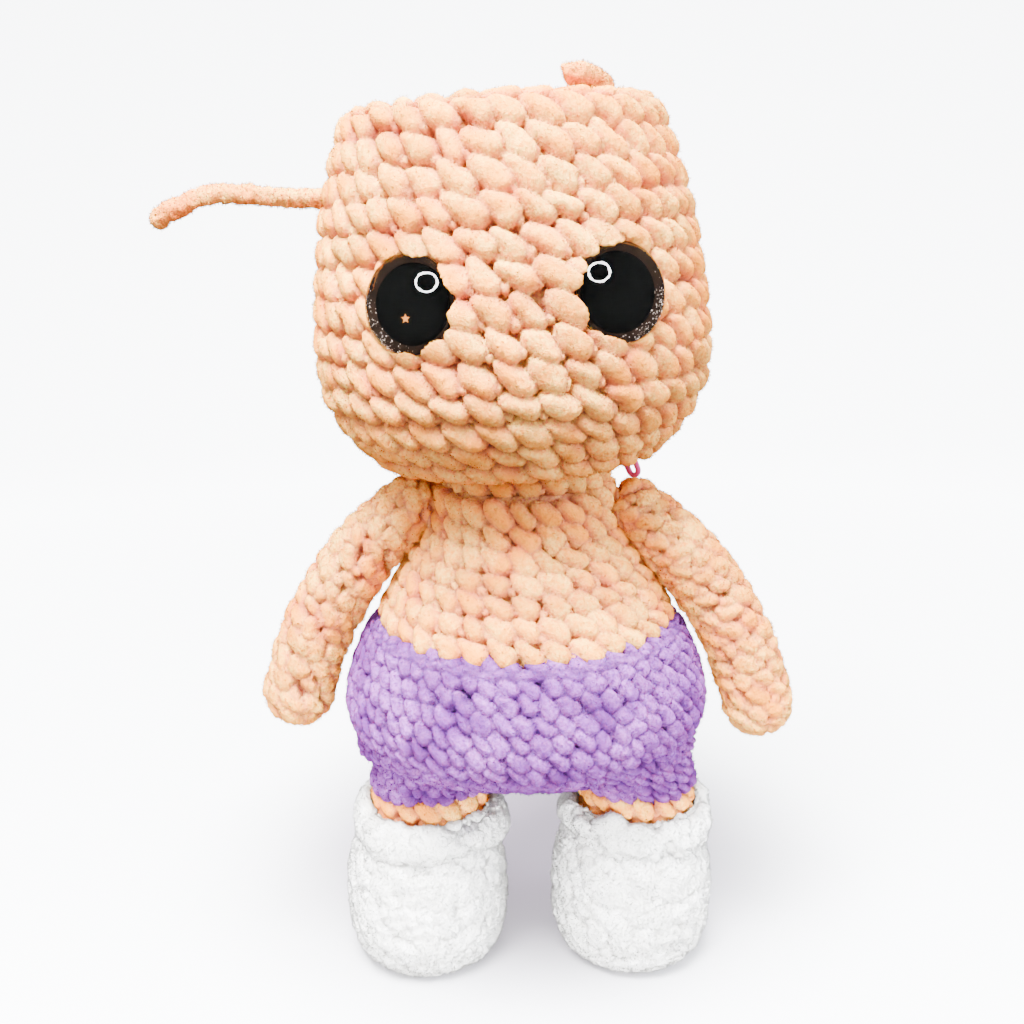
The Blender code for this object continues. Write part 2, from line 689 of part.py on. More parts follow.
def stadium(width, length):
    """Middle line of the marker's loop: two straight wires joined by half turns."""
    bend = width / 2
    straight = length - width
    points = []
    for centre, start in ((straight / 2, 0), (-straight / 2, math.pi)):
        for i in range(MARKER_BEND_STEPS + 1):
            angle = start + math.pi * i / MARKER_BEND_STEPS
            points.append(Vector((bend * math.cos(angle), 0, centre + bend * math.sin(angle))))
    return points


def marker_loop(name, wire_radius, place):
    """The marker's wire as a closed tube round its middle line."""
    wire = 2 * MARKER_WIRE_RADIUS
    points = stadium(MARKER_WIDTH - wire, MARKER_LENGTH - wire)
    mesh = bmesh.new()
    side = Vector((0, 1, 0))
    rings = []
    for i, point in enumerate(points):
        across = (points[(i + 1) % len(points)] - points[i - 1]).normalized().cross(side)
        angles = [2 * math.pi * k / MARKER_SIDES for k in range(MARKER_SIDES)]
        rings.append([
            mesh.verts.new(point + wire_radius * (side * math.cos(a) + across * math.sin(a)))
            for a in angles
        ])
    for low, high in zip(rings, rings[1:] + rings[:1]):
        for k in range(MARKER_SIDES):
            j = (k + 1) % MARKER_SIDES
            mesh.faces.new((low[k], low[j], high[j], high[k]))
    bmesh.ops.recalc_face_normals(mesh, faces=mesh.faces)
    data = bpy.data.meshes.new(name)
    mesh.to_mesh(data)
    mesh.free()
    return add(name, data, place)


def marker_place():
    side = head_outline()
    foot = min(
        (low.y + (high.y - low.y) * (MARKER_REACH - low.x) / (high.x - low.x))
        for low, high in zip(side, side[1:])
        if low.x <= MARKER_REACH <= high.x
    )
    across = Matrix.Rotation(MARKER_BEARING, 4, "Z")
    spot = Vector((MARKER_REACH, 0, foot + MARKER_HOLD - MARKER_LENGTH / 2))
    return head_frame() @ across @ Matrix.Translation(spot) @ Matrix.Rotation(math.pi / 2, 4, "Z")


def make_head():
    frame = head_frame()
    pivot_drop = frame.inverted() @ NECK_PIVOT
    seam_inner = NECK_DOME_RADIUS + BALL_GAP
    seam_outer = seam_inner + NECK_SEAM_THICKNESS
    side = head_outline()
    mouth = NECK_SEAM_HOLE_RADIUS

    outer = head_rounds() + [side[-1]]
    middle = HEAD_HEIGHT / 2
    inner = [point for point in inset(side, HEAD_FABRIC) if point.x > mouth or point.y > middle]
    rim = [Vector((mouth, HEAD_FABRIC)), Vector((mouth, 0))]
    cover = turned("head_cover", inner[::-1] + rim + outer, BODY_SIDES, place=frame)
    room = inset(side, HEAD_FABRIC + GAP)
    filling = [point for point in room if point.x > mouth or point.y > middle]
    neck = mouth - GAP
    plug = [Vector((0, -OVERRUN)), Vector((neck, -OVERRUN)), Vector((neck, HEAD_FABRIC + GAP))]
    stuffing = turned("head_stuffing", plug + filling, BODY_SIDES, place=frame)

    for label, sign in SIDES.items():
        cover_tool, filling_tool = make_eye(label, sign)
        cut(cover, cover_tool)
        cut(stuffing, filling_tool)
    cut(cover, guide(ball("head_seat", seam_outer + BALL_GAP, NECK_PIVOT)))
    cut(stuffing, guide(ball("plug_seat", seam_inner, NECK_PIVOT)))

    hook = guide(marker_loop("marker_tunnel", MARKER_WIRE_RADIUS + GAP, marker_place()))
    cut(cover, hook)
    finish(cover, PEACH)
    finish(stuffing, STUFFING)
    finish(marker_loop("stitch_marker", MARKER_WIRE_RADIUS, marker_place()), PINK, GLOSSY)

    inner_start = math.asin(NECK_SEAM_HOLE_RADIUS / seam_inner)
    outer_start = math.asin(NECK_SEAM_HOLE_RADIUS / seam_outer)
    below = arc(seam_inner, inner_start, NECK_SEAM_EDGE_ANGLE, END_STEPS)
    above = arc(seam_outer, NECK_SEAM_EDGE_ANGLE, outer_start, END_STEPS)
    ring_place = frame @ Matrix.Translation((0, 0, pivot_drop.z))
    finish(turned("neck_seam", below + above, BODY_SIDES, closed=True, place=ring_place), PALE_PEACH)


def hang_from_head():
    """Hangs what the head carries from an empty on the axis that the head turns about."""
    pivot = add("head_pivot", None, head_frame())
    pivot.empty_display_size = NECK_DOME_RADIUS
    carried = ["stitch_marker", "side_yarn_tail", "top_yarn_tail"]
    for label in SIDES:
        carried += [label + "_eye_" + piece for piece in ("dome", "pupil", "glitter", "washer")]
    for name in carried:
        piece = bpy.data.objects[name]
        piece.parent = pivot
        piece.matrix_parent_inverse = pivot.matrix_world.inverted()


def main():
    clear_scene()
    rooms = [make_arm_room(label, sign) for label, sign in SIDES.items()]
    make_body(rooms)
    for label, sign in SIDES.items():
        make_leg(label, sign)
        make_arm(label, sign)
    make_head()
    finish(yarn("side_yarn_tail", SIDE_TAIL_ROUTE), PALE_PEACH)
    finish(yarn("top_yarn_tail", TOP_TAIL_ROUTE), PALE_PEACH)
    bpy.context.view_layer.update()
    hang_from_head()
    bpy.context.view_layer.update()


main()
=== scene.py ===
# %% [markdown]
# # A crocheted doll of velvet yarn
#
# This lesson dresses a plain jointed model of a crocheted doll, so that it looks like the real
# one: thick chenille yarn worked in rounds, two glossy safety eyes, and fluffy white shoes.
# The plain model gives every place, size and joint. Each soft piece is built over its own plain
# solid, stitch by stitch, and rides on the same body as that solid.

# %% Load the plain model
import math
from collections import namedtuple

import bpy
import numpy as np
from mathutils import Matrix, Vector


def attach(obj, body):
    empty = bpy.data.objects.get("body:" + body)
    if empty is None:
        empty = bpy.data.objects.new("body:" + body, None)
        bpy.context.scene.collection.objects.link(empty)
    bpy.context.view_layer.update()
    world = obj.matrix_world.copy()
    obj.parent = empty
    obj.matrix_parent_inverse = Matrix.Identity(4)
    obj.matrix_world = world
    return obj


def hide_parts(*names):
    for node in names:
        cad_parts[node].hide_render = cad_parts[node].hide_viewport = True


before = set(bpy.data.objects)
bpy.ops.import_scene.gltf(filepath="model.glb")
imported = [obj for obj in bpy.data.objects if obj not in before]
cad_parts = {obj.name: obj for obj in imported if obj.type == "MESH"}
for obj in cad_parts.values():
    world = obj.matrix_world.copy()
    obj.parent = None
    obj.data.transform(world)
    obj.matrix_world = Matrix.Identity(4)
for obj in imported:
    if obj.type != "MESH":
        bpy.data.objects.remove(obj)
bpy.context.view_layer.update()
MM = 0.001
TINY = 1e-9                             # so small that it counts as nothing
SIDES = {"left": 1, "right": -1}        # the doll's own left is +X

# %% [markdown]
# ## The camera
#
# The photograph was taken from close by and from a little above the doll's middle, so its feet
# look smaller than its head. A camera could be placed by eye, but heights read off the picture
# only agree when its distance and tilt are right. These were found by matching the head's top,
# the eyes and the soles, which lie at known heights.

# %% The camera
PHOTO_PIXELS = 1024
FOCAL_PIXELS = 1150
CAMERA_PLACE = Vector((-3.4, -334, 228)) * MM
CAMERA_TILT = math.radians(13.6)        # downwards
CAMERA_ROLL = math.radians(-0.9)


def make_camera():
    lens = bpy.data.cameras.new("camera")
    lens.lens = lens.sensor_width * FOCAL_PIXELS / PHOTO_PIXELS
    camera = bpy.data.objects.new("camera", lens)
    bpy.context.scene.collection.objects.link(camera)
    level = Matrix.Rotation(math.pi / 2 - CAMERA_TILT, 4, "X")
    camera.matrix_world = Matrix.Translation(CAMERA_PLACE) @ level @ Matrix.Rotation(CAMERA_ROLL, 4, "Z")
    bpy.context.scene.camera = camera
    return camera


camera = make_camera()
print(f"the lens is {camera.data.lens:.1f} mm long")

# %% [markdown]
# ## Skins
#
# Every soft piece of the doll is a tube that swells and tapers. A skin describes such a tube as
# rings along a middle line: each ring has a centre, two directions and a half width in each.
# A mesh could be modelled directly, but a skin can also say where any stitch sits: so far along
# the tube, so far round it, and so far out from it. All the yarn is laid with that one question.

# %% Skins
Skin = namedtuple("Skin", "centres across deep wide thick along")
SKIN_STEP = 1.0 * MM
SMALLEST_RADIUS = 2.5 * MM              # a round nearer the tip than this counts as this wide
SLOPE_EASE = 1.0 * MM                   # keeps the way out from a skin steady at its narrow tips
UPRIGHT = Matrix.Identity(4)


def carried(points, matrix):
    """Points taken through a matrix."""
    matrix = np.array(matrix)
    return points @ matrix[:3, :3].T + matrix[:3, 3]


def lengths_along(points):
    steps = np.linalg.norm(np.diff(points, axis=0), axis=1)
    return np.concatenate(([0], np.cumsum(steps)))


def spaced(points, count):
    """That many points, an even step apart along a line of straight stretches."""
    along = lengths_along(points)
    wanted = np.linspace(0, along[-1], count)
    return np.stack([np.interp(wanted, along, points[:, k]) for k in range(points.shape[1])], axis=1)


def resample(points, step):
    """Points about that step apart along a line of straight stretches."""
    return spaced(points, max(int(round(lengths_along(points)[-1] / step)), 2) + 1)


def soften(points, rounds):
    """Rounds off the corners of a line, and leaves its two ends."""
    for _ in range(rounds):
        points[1:-1] = (points[:-2] + 2 * points[1:-1] + points[2:]) / 4
    return points


def turned_skin(outline, place, depth_share=1.0, softening=6):
    """The skin of a form turned about Z, from (radius, height) points that run upwards."""
    line = soften(resample(np.array(outline, float), SKIN_STEP), softening)
    turn = np.array(place.to_3x3())
    centres = carried(np.stack([np.zeros(len(line)), np.zeros(len(line)), line[:, 1]], axis=1), place)
    across, deep = (np.tile(turn[:, k], (len(line), 1)) for k in (0, 1))
    return Skin(centres, across, deep, line[:, 0], line[:, 0] * depth_share, lengths_along(line))


def tube_skin(centres, radii, side):
    """The skin of a bent tube. Its rings stand square to its run, and side shows where each starts."""
    centres, radii, side = (np.array(values, float) for values in (centres, radii, side))
    runs = np.gradient(centres, axis=0)
    runs /= np.linalg.norm(runs, axis=1)[:, None]
    across = side - runs * (runs @ side)[:, None]
    across /= np.linalg.norm(across, axis=1)[:, None]
    rim = centres + across * radii[:, None]
    return Skin(centres, across, np.cross(runs, across), radii, radii, lengths_along(rim))


def on_skin(skin, along, turn, out):
    """Points on a skin: how far along it, how far round it in radians, and how far out from it."""
    def read(values, at=along):
        if values.ndim == 1:
            return np.interp(at, skin.along, values)
        return np.stack([np.interp(at, skin.along, values[:, k]) for k in range(3)], axis=-1)

    def rim(at):
        across = read(skin.across, at) * (read(skin.wide, at) * np.cos(turn))[..., None]
        deep = read(skin.deep, at) * (read(skin.thick, at) * np.sin(turn))[..., None]
        return read(skin.centres, at) + across + deep

    end = skin.along[-1]
    up = rim(np.clip(along + SKIN_STEP, 0, end)) - rim(np.clip(along - SKIN_STEP, 0, end))
    round_it = read(skin.deep) * (read(skin.thick) * np.cos(turn) + SLOPE_EASE * np.cos(turn))[..., None]
    round_it -= read(skin.across) * (read(skin.wide) * np.sin(turn) + SLOPE_EASE * np.sin(turn))[..., None]
    normal = np.cross(round_it, up)
    normal /= np.maximum(np.linalg.norm(normal, axis=-1), TINY ** 2)[..., None]
    return rim(along) + normal * out[..., None]


def girth(skin, along):
    """The length once round a skin."""
    wide, thick = (np.interp(along, skin.along, half) for half in (skin.wide, skin.thick))
    return 2 * math.pi * max(math.sqrt((wide ** 2 + thick ** 2) / 2), SMALLEST_RADIUS)


def height_along(skin, height):
    """How far along an upright skin a height is first reached on its outer side."""
    return float(np.interp(height, skin.centres[:, 2], skin.along))


# %% [markdown]
# ## The yarn's finish
#
# Chenille yarn is a string of short plush fibres, so it has no hard shine: light goes a little
# way into the pile, and each strand glows softly at its edges. The finish also paints shade deep
# between the stitches and in the folds, darker and warmer there. A single colour would look like
# plastic, so the finish mixes three things: how deep a spot lies, which sets its painted shade, a
# tone of its own for each loop, and a fine mottle of fibres. The depth, the fold and the tone are
# stored on the mesh, so they stay with the yarn when a limb moves.

# %% Building a finish
NOISE_ROUGHNESS = 0.6


def set_inputs(node, **values):
    for name, value in values.items():
        node.inputs[name.replace("_", " ")].default_value = value


class Nodes:
    """The nodes of a finish or of the world. Each step gives back the socket that it ends in."""

    def __init__(self, owner, **values):
        owner.use_nodes = True
        self.owner = owner
        self.tree = owner.node_tree
        self.shader = self.tree.nodes.get("Principled BSDF")
        self.place = self.add("TexCoord")
        if self.shader:
            set_inputs(self.shader, **values)

    def add(self, kind, **values):
        node = self.tree.nodes.new("ShaderNode" + kind)
        set_inputs(node, **values)
        return node

    def join(self, source, target):
        """Feeds a socket from another one, or sets it to a plain value."""
        if isinstance(source, bpy.types.NodeSocket):
            self.tree.links.new(source, target)
        else:
            target.default_value = source

    def shade(self, **sources):
        for name, source in sources.items():
            self.join(source, self.shader.inputs[name.replace("_", " ")])

    def value(self, name):
        """A value that is stored on the mesh."""
        node = self.add("Attribute")
        node.attribute_name = name
        return node.outputs["Fac"]

    def noise(self, size, detail):
        node = self.add("TexNoise", Scale=1 / size, Detail=detail, Roughness=NOISE_ROUGHNESS)
        self.join(self.place.outputs["Object"], node.inputs["Vector"])
        return node.outputs["Fac"]

    def spread(self, source, smooth=False, **ends):
        """Turns a value that runs from From Min to From Max into one from To Min to To Max."""
        node = self.add("MapRange", **ends)
        if smooth:
            node.interpolation_type = "SMOOTHSTEP"
        self.join(source, node.inputs["Value"])
        return node.outputs["Result"]

    def shares(self, source, low, high):
        return self.spread(source, To_Min=low, To_Max=high)

    def times(self, first, second):
        node = self.add("Math")
        node.operation = "MULTIPLY"
        self.join(first, node.inputs[0])
        self.join(second, node.inputs[1])
        return node.outputs[0]

    def ramp(self, source, places, colours):
        """A colour at each place of the source, and blends between them."""
        node = self.add("ValToRGB")
        elements = node.color_ramp.elements
        for element, k in ((elements[0], 0), (elements[1], -1)):
            element.position = places[k]
            element.color = (*colours[k], 1)
        for place, colour in list(zip(places, colours))[1:-1]:
            elements.new(place).color = (*colour, 1)
        self.join(source, node.inputs["Fac"])
        return node.outputs["Color"]

    def mix(self, share, first, second, blend="MIX"):
        """The second colour over the first, by that share."""
        node = self.add("Mix")
        node.data_type = "RGBA"
        node.blend_type = blend
        for k, source in ((0, share), (6, first), (7, second)):
            self.join(source, node.inputs[k])
        return node.outputs[2]

    def bump(self, source, strength, height):
        node = self.add("Bump", Strength=strength, Distance=height)
        self.join(source, node.inputs["Height"])
        self.shade(Normal=node.outputs["Normal"])


# %% The yarn's finish
PATCH_SIZE = 14 * MM                    # patches where the pile is worn and looks paler
SPECKLE_SIZE = 1.2 * MM
MOTTLE_SIZE = 3.5 * MM
FIBRE_SIZE = 0.7 * MM
FIBRE_HEIGHT = 0.5 * MM
# the depth ramp paints shade: darkest in the crevices, lighter up the flanks, lightest on the crowns
DEPTH_SHARES = (0.25, 0.68, 0.97)       # how high the crevice, the flank and the crown lie
TONE_SHARES = (0.8, 1.1)                # the darkest loop and the brightest
MOTTLE_SHARES = (0.84, 1.12)
FIBRE_SHARES = (0.72, 1.22)
PATCH_SHARES = (-1.4, 2.4)
SPECKLE_SHARES = (-1.2, 2.6)
SHEEN_ROUGHNESS = 0.45
RED_GLOW = (0.2, 2.0 * MM, (1, 0.2, 0.1))
WHITE_GLOW = (0.5, 3.0 * MM, (1, 1, 1))


def yarn_finish(name, crevice_shade, middle, crown, pale, fold_shade_share, fluff=0.3, glow=RED_GLOW):
    """Velvet yarn: painted shade deep between stitches and in folds, its colour on flanks and crowns, and
    where it is worn.

    glow says how much of the light goes into the pile, how far, and how its colours share that way.
    """
    finish = Nodes(
        bpy.data.materials.new(name), Roughness=1.0, Specular_IOR_Level=0, Sheen_Weight=fluff,
        Sheen_Roughness=SHEEN_ROUGHNESS, Sheen_Tint=(*crown, 1), Subsurface_Weight=glow[0],
        Subsurface_Scale=glow[1], Subsurface_Radius=glow[2])
    fibre = finish.noise(FIBRE_SIZE, 4)
    tone = finish.times(
        finish.shares(finish.value("tone"), *TONE_SHARES),
        finish.shares(finish.noise(MOTTLE_SIZE, 3), *MOTTLE_SHARES))
    tone = finish.times(tone, finish.shares(fibre, *FIBRE_SHARES))
    worn = finish.times(
        finish.shares(finish.noise(PATCH_SIZE, 2), *PATCH_SHARES),
        finish.shares(finish.noise(SPECKLE_SIZE, 3), *SPECKLE_SHARES))
    # painted shade: the deeper a spot lies, the nearer its colour comes to the crevice's shade colour
    colour = finish.ramp(finish.value("depth"), DEPTH_SHARES, (crevice_shade, middle, crown))
    colour = finish.mix(worn, colour, (*pale, 1))
    # painted shade: the nearer a fold, the more its colour goes to the crevice's shade colour
    colour = finish.mix(finish.shares(finish.value("crease"), 0, fold_shade_share), colour, (*crevice_shade, 1))
    finish.shade(Base_Color=finish.mix(1, colour, tone, "MULTIPLY"))
    finish.bump(fibre, 1.0, FIBRE_HEIGHT)
    return finish.owner


# each yarn's first colour is the painted shade of its crevices and folds; the next two grow lighter towards
# the crowns
PEACH_YARN = yarn_finish(
    "peach_yarn", (0.44, 0.120, 0.075), (0.72, 0.188, 0.052), (0.86, 0.265, 0.018),
    (0.90, 0.46, 0.10), 0.45)
LILAC_YARN = yarn_finish(
    "lilac_yarn", (0.040, 0.013, 0.070), (0.084, 0.018, 0.130), (0.135, 0.031, 0.20),
    (0.29, 0.085, 0.38), 0.55)
WHITE_YARN = yarn_finish(
    "white_yarn", (0.90, 0.87, 0.82), (0.95, 0.935, 0.90), (0.97, 0.96, 0.93), (0.97, 0.96, 0.94), 0.1, 0.5,
    WHITE_GLOW)
print("the yarn's colours:", PEACH_YARN.name, LILAC_YARN.name, WHITE_YARN.name)

# %% [markdown]
# ## Loops of yarn
#
# A single crochet stitch shows two legs of yarn that meet in a V. Worked in rounds, the V leans:
# one leg lies on top as a plump slanted leaf, and the other peeps out beneath it as a small bump.
# A picture of stitches mapped on a smooth tube would look flat at the edges, so the cloth is
# truly raised. Each leg is a little dome with a place on the skin, a lean, a length and a width.

# %% Rounds of stitches
LEG_SWELL = 0.16                        # how much fuller a leg is towards its lower end
LEG_TAPER = 0.22                        # how much narrower both its ends are
PLACE_WOBBLE = 0.32 * MM
SIZE_WOBBLE_SHARE = 0.06
LEAN_WOBBLE = math.radians(6)
LIFT_WOBBLE_SHARE = 0.06
COUNT_SLACK = 0.08                      # a round gets more stitches, or fewer, when it is this far off
FEWEST_STITCHES = 5
FRONT = -math.pi / 2
LOOSE_SLIP = 0.45
Leg = namedtuple("Leg", "length width lean aside rise lift tip")
Stitch = namedtuple("Stitch", "row width slip legs wobble", defaults=(1,))


def lay(skin, along, turn, leg, chance, wobble):
    """One leg of every stitch: where it lies, its lean, its half sizes, its lift and raised tip."""
    count = len(along)
    wide = np.interp(along, skin.along, (skin.wide + skin.thick) / 2)
    aside = leg.aside + chance.normal(0, PLACE_WOBBLE, count) * wobble
    rise = leg.rise + chance.normal(0, PLACE_WOBBLE, count) * wobble
    size = 1 + chance.normal(0, SIZE_WOBBLE_SHARE, (2, count)) * wobble
    return np.stack((
        along + rise,
        turn + aside / np.maximum(wide, SMALLEST_RADIUS),
        leg.lean + chance.normal(0, LEAN_WOBBLE, count) * wobble,
        leg.length / 2 * size[0],
        leg.width / 2 * size[1],
        leg.lift + chance.normal(0, LIFT_WOBBLE_SHARE, count) * wobble,
        np.full(count, leg.tip),
    ), axis=1)


def work(skin, start, end, stitch, chance, tilt=0):
    """Works rounds of a stitch from one length along a skin to another.

    Each round starts a share of a stitch further on than the one before it.
    """
    rows = max(int(round((end - start) / stitch.row)), 1)
    along, turn, count = [], [], 1
    for row in range(rows):
        middle = start + (end - start) * (row + 0.5) / rows
        wanted = girth(skin, middle) / stitch.width
        if abs(wanted / count - 1) > COUNT_SLACK:
            count = max(int(round(wanted)), FEWEST_STITCHES)
        for number in range(count):
            angle = FRONT + 2 * math.pi * (number - count // 2 + stitch.slip * row % 1) / count
            along.append(middle + tilt * math.sin(angle))
            turn.append(angle)
    print(f"  {rows} rounds, {len(along)} stitches")
    along, turn = np.minimum(along, skin.along[-1]), np.array(turn)
    return [lay(skin, along, turn, leg, chance, stitch.wobble) for leg in stitch.legs]


# %% [markdown]
# ## From stitches to cloth
#
# Real stitches press against each other, so between two plump legs there is no gap but a sharp
# fold. Separate lobes pressed together and remeshed would look like melted wax.
# Here every point of a fine grid on the skin asks which dome is highest above it. That makes
# leaf-shaped cells with sharp folds between them. How nearly a second dome is as high says how
# close the fold is, and the finish paints shade into it. Two fine noises then rough up the pile, and
# loose fibres, which are thin triangles rooted in the cloth, make its edge soft.

# %% From stitches to cloth
HOLLOW_SHARE = -0.1                     # a dome lower than this leaves the cloth's ground bare
LEG_REACH_SHARE = 1.4                   # how far from its middle a leg can cover the ground
HIGHEST_SHARE = 1.3
LOWEST = -9.0                           # lower than any dome
CROWN_RISE = 0.2 * MM                   # how far the crowns stand above the skin
GROUND_DROP = 1.0 * MM
FOLD_WIDTH = 1.3 * MM
WARP_WAVES = 6
WARP_HEIGHT = 0.16 * MM
WARP_LENGTH = 1.3 * MM
CLOTH_STEP = 0.5 * MM
LUMP_SIZE = 2.6 * MM
TUFT_SIZE = 1.1 * MM
Pile = namedtuple("Pile", "lump tuft groove fibres")    # fibres says how many times more it has
PEACH_PILE = Pile(0.5 * MM, 0.45 * MM, 0.25 * MM, 1)
ARM_PILE = Pile(1.0 * MM, 0.6 * MM, 0, 2)
TAIL_PILE = Pile(1.5 * MM, 1.0 * MM, 0, 3)
SHOE_PILE = Pile(1.5 * MM, 0.9 * MM, 0, 3)


def link(name, mesh):
    piece = bpy.data.objects.new(name, mesh)
    bpy.context.scene.collection.objects.link(piece)
    return piece


def mesh_from(name, points, faces):
    """A mesh from points and faces. A triangle may repeat one of its corners."""
    mesh = bpy.data.meshes.new(name)
    mesh.from_pydata(np.asarray(points).tolist(), [], [tuple(dict.fromkeys(face)) for face in faces])
    mesh.update()
    return mesh


def applied(piece):
    """Replaces an object's mesh by what its modifiers make of it."""
    graph = bpy.context.evaluated_depsgraph_get()
    mesh = bpy.data.meshes.new_from_object(piece.evaluated_get(graph))
    piece.modifiers.clear()
    piece.data = mesh
    return piece


def rough_up(piece, size, height, kind):
    """Raises and lowers the surface with a noise of that size."""
    cloud = bpy.data.textures.new(f"{piece.name}_{kind}", "CLOUDS")
    cloud.noise_scale = size
    cloud.noise_depth = 2
    step = piece.modifiers.new("pile", "DISPLACE")
    step.texture = cloud
    step.texture_coords = "GLOBAL"
    step.strength = height
    step.mid_level = 0.5


def make_plush(piece, pile):
    """Gives a surface the lumps and tufts of a pile."""
    rough_up(piece, LUMP_SIZE, pile.lump, "lumps")
    rough_up(piece, TUFT_SIZE, pile.tuft, "tufts")
    applied(piece)
    piece.data.shade_smooth()


def point_array(mesh):
    flat = np.empty(len(mesh.vertices) * 3, np.float32)
    mesh.vertices.foreach_get("co", flat)
    return flat.reshape(-1, 3).astype(float)


def set_points(mesh, points):
    mesh.vertices.foreach_set("co", points.astype(np.float32).ravel())
    mesh.update()


def keep_values(mesh, **values):
    """Stores values on a mesh's points, for its finish to read."""
    for name, value in values.items():
        layer = mesh.attributes.get(name) or mesh.attributes.new(name, "FLOAT", "POINT")
        layer.data.foreach_set("value", np.broadcast_to(np.asarray(value, np.float32), len(mesh.vertices)))


def warp_field(along, turns, radius, chance):
    """A gentle unevenness by which every fold wanders a little."""
    field = np.zeros((len(along), len(turns)))
    for _ in range(WARP_WAVES):
        around = int(chance.uniform(-1, 1) * radius / WARP_LENGTH)
        up = chance.uniform(-1, 1) / WARP_LENGTH
        field += np.sin(around * turns[None, :] + up * along[:, None] + chance.uniform(0, 2 * math.pi))
    return field * WARP_HEIGHT


def weave(skin, stitches, chance, step):
    """Which stitch covers each point of a grid on the skin, how high it is, and how near a fold."""
    along = np.linspace(skin.along[0], skin.along[-1], int((skin.along[-1] - skin.along[0]) / step) + 2)
    half_girth = (skin.wide + skin.thick) / 2
    columns = int(2 * math.pi * half_girth.max() / step)
    turns = np.arange(columns) * 2 * math.pi / columns
    radius = np.maximum(np.interp(along, skin.along, half_girth), SMALLEST_RADIUS)
    warp_across = warp_field(along, turns, half_girth.max(), chance)
    warp_up = warp_field(along, turns, half_girth.max(), chance)
    best = np.full((len(along), columns), LOWEST)
    second = best.copy()
    owner = np.zeros(best.shape, int)
    for number, (place, spin, lean, half_length, half_width, lift, tip) in enumerate(stitches):
        reach = LEG_REACH_SHARE * half_length
        near = np.nonzero(np.abs(along - place) < reach)[0]
        if not len(near):
            continue
        centre = int(round(spin / turns[1]))
        span = min(int(reach / (radius[near].min() * turns[1])) + 1, columns // 2)
        around = np.arange(centre - span, centre + span)
        spot = np.ix_(near, around % columns)
        across = (around * turns[1] - spin)[None, :] * radius[near][:, None] + warp_across[spot]
        up = (along[near] - place)[:, None] + warp_up[spot]
        forward = (across * math.cos(lean) + up * math.sin(lean)) / half_length
        sideways = (up * math.cos(lean) - across * math.sin(lean)) / half_width
        end = np.clip(forward, -1, 1)
        fullness = 1 + LEG_SWELL * end - LEG_TAPER * end ** 2
        dome = 1 + lift - forward ** 4 - (sideways / fullness) ** 2 + tip * end
        higher = dome > best[spot]
        second[spot] = np.where(higher, best[spot], np.maximum(second[spot], dome))
        owner[spot] = np.where(higher, number, owner[spot])
        best[spot] = np.where(higher, dome, best[spot])
    height = np.sqrt(np.clip((best - HOLLOW_SHARE) / (1 - HOLLOW_SHARE), 0, HIGHEST_SHARE))
    fold = 1 - np.clip((best - second) * stitches[owner, 4] / FOLD_WIDTH, 0, 1)
    return along, turns, height, fold * fold * (3 - 2 * fold), owner


def tube_faces(rings, sides, closed):
    """The faces of a tube of rings. An open one gets a point at each end."""
    ring, side = np.meshgrid(np.arange(rings if closed else rings - 1), np.arange(sides), indexing="ij")
    low, high, following = ring * sides, (ring + 1) % rings * sides, (side + 1) % sides
    faces = np.stack((low + side, low + following, high + following, high + side), axis=-1).reshape(-1, 4)
    if closed:
        return faces.tolist()
    first, last = rings * sides, rings * sides + 1
    top = (rings - 1) * sides
    caps = [(first, (k + 1) % sides, k) for k in range(sides)]
    caps += [(last, top + k, top + (k + 1) % sides) for k in range(sides)]
    return faces.tolist() + caps


def capped(points, sides):
    """A tube's points with one more in the middle of each end."""
    return np.concatenate((points, points[:sides].mean(0)[None], points[-sides:].mean(0)[None]))


def make_cloth(name, parts, chance, thickness, pile=PEACH_PILE, step=CLOTH_STEP, closed=False):
    """A cloth from parts: each a skin, its stitches, and lengths along it with how far it is sunk."""
    points, faces, layers = [], [], []
    for skin, stitches, (sunk_at, sunk_by) in parts:
        stitches = np.concatenate(stitches)
        along, turns, height, fold, owner = weave(skin, stitches, chance, step)
        out = thickness * (height - 1) + CROWN_RISE - pile.groove * fold
        out = np.where(height > 0, out, -thickness - GROUND_DROP)
        out = out - np.interp(along, sunk_at, sunk_by)[:, None]
        grid_along, grid_turn = np.meshgrid(along, turns, indexing="ij")
        spots = on_skin(skin, grid_along, grid_turn, out).reshape(-1, 3)
        offset = sum(len(group) for group in points)
        faces += [tuple(corner + offset for corner in face)
                  for face in tube_faces(len(along), len(turns), closed)]
        tones = chance.random(len(stitches))
        values = np.stack([tones[owner].ravel(), np.clip(height, 0, 1).ravel(), fold.ravel()])
        if not closed:
            spots = capped(spots, len(turns))
            values = np.concatenate((values, values[:, :1], values[:, -1:]), axis=1)
        points.append(spots)
        layers.append(values)
    piece = link(name, mesh_from(name, np.concatenate(points), faces))
    tone, depth, crease = np.concatenate(layers, axis=1)
    keep_values(piece.data, tone=tone, depth=depth, crease=crease)
    make_plush(piece, pile)
    print(f"  {name}: {len(piece.data.polygons)} faces")
    return piece


# %% Loose fibres and dressing
FUZZ_PER_AREA = 1.5 / MM ** 2           # loose fibres on each square of a millimetre
FUZZ_LENGTH = 0.75 * MM
FUZZ_LENGTH_SHARES = (0.5, 1.2)
FUZZ_WIDTH = 0.22 * MM
FUZZ_SCATTER = 0.15 * MM
FUZZ_LEAN_SHARE = 0.55
FUZZ_LIGHT_SHARE = 0.3                  # how far a fibre's light follows its own lean


def read_values(items, name, kind, width=1):
    values = np.empty(len(items) * width, kind)
    items.foreach_get(name, values)
    return values if width == 1 else values.reshape(-1, width)


def unit(vectors):
    return vectors / np.linalg.norm(vectors, axis=1)[:, None]


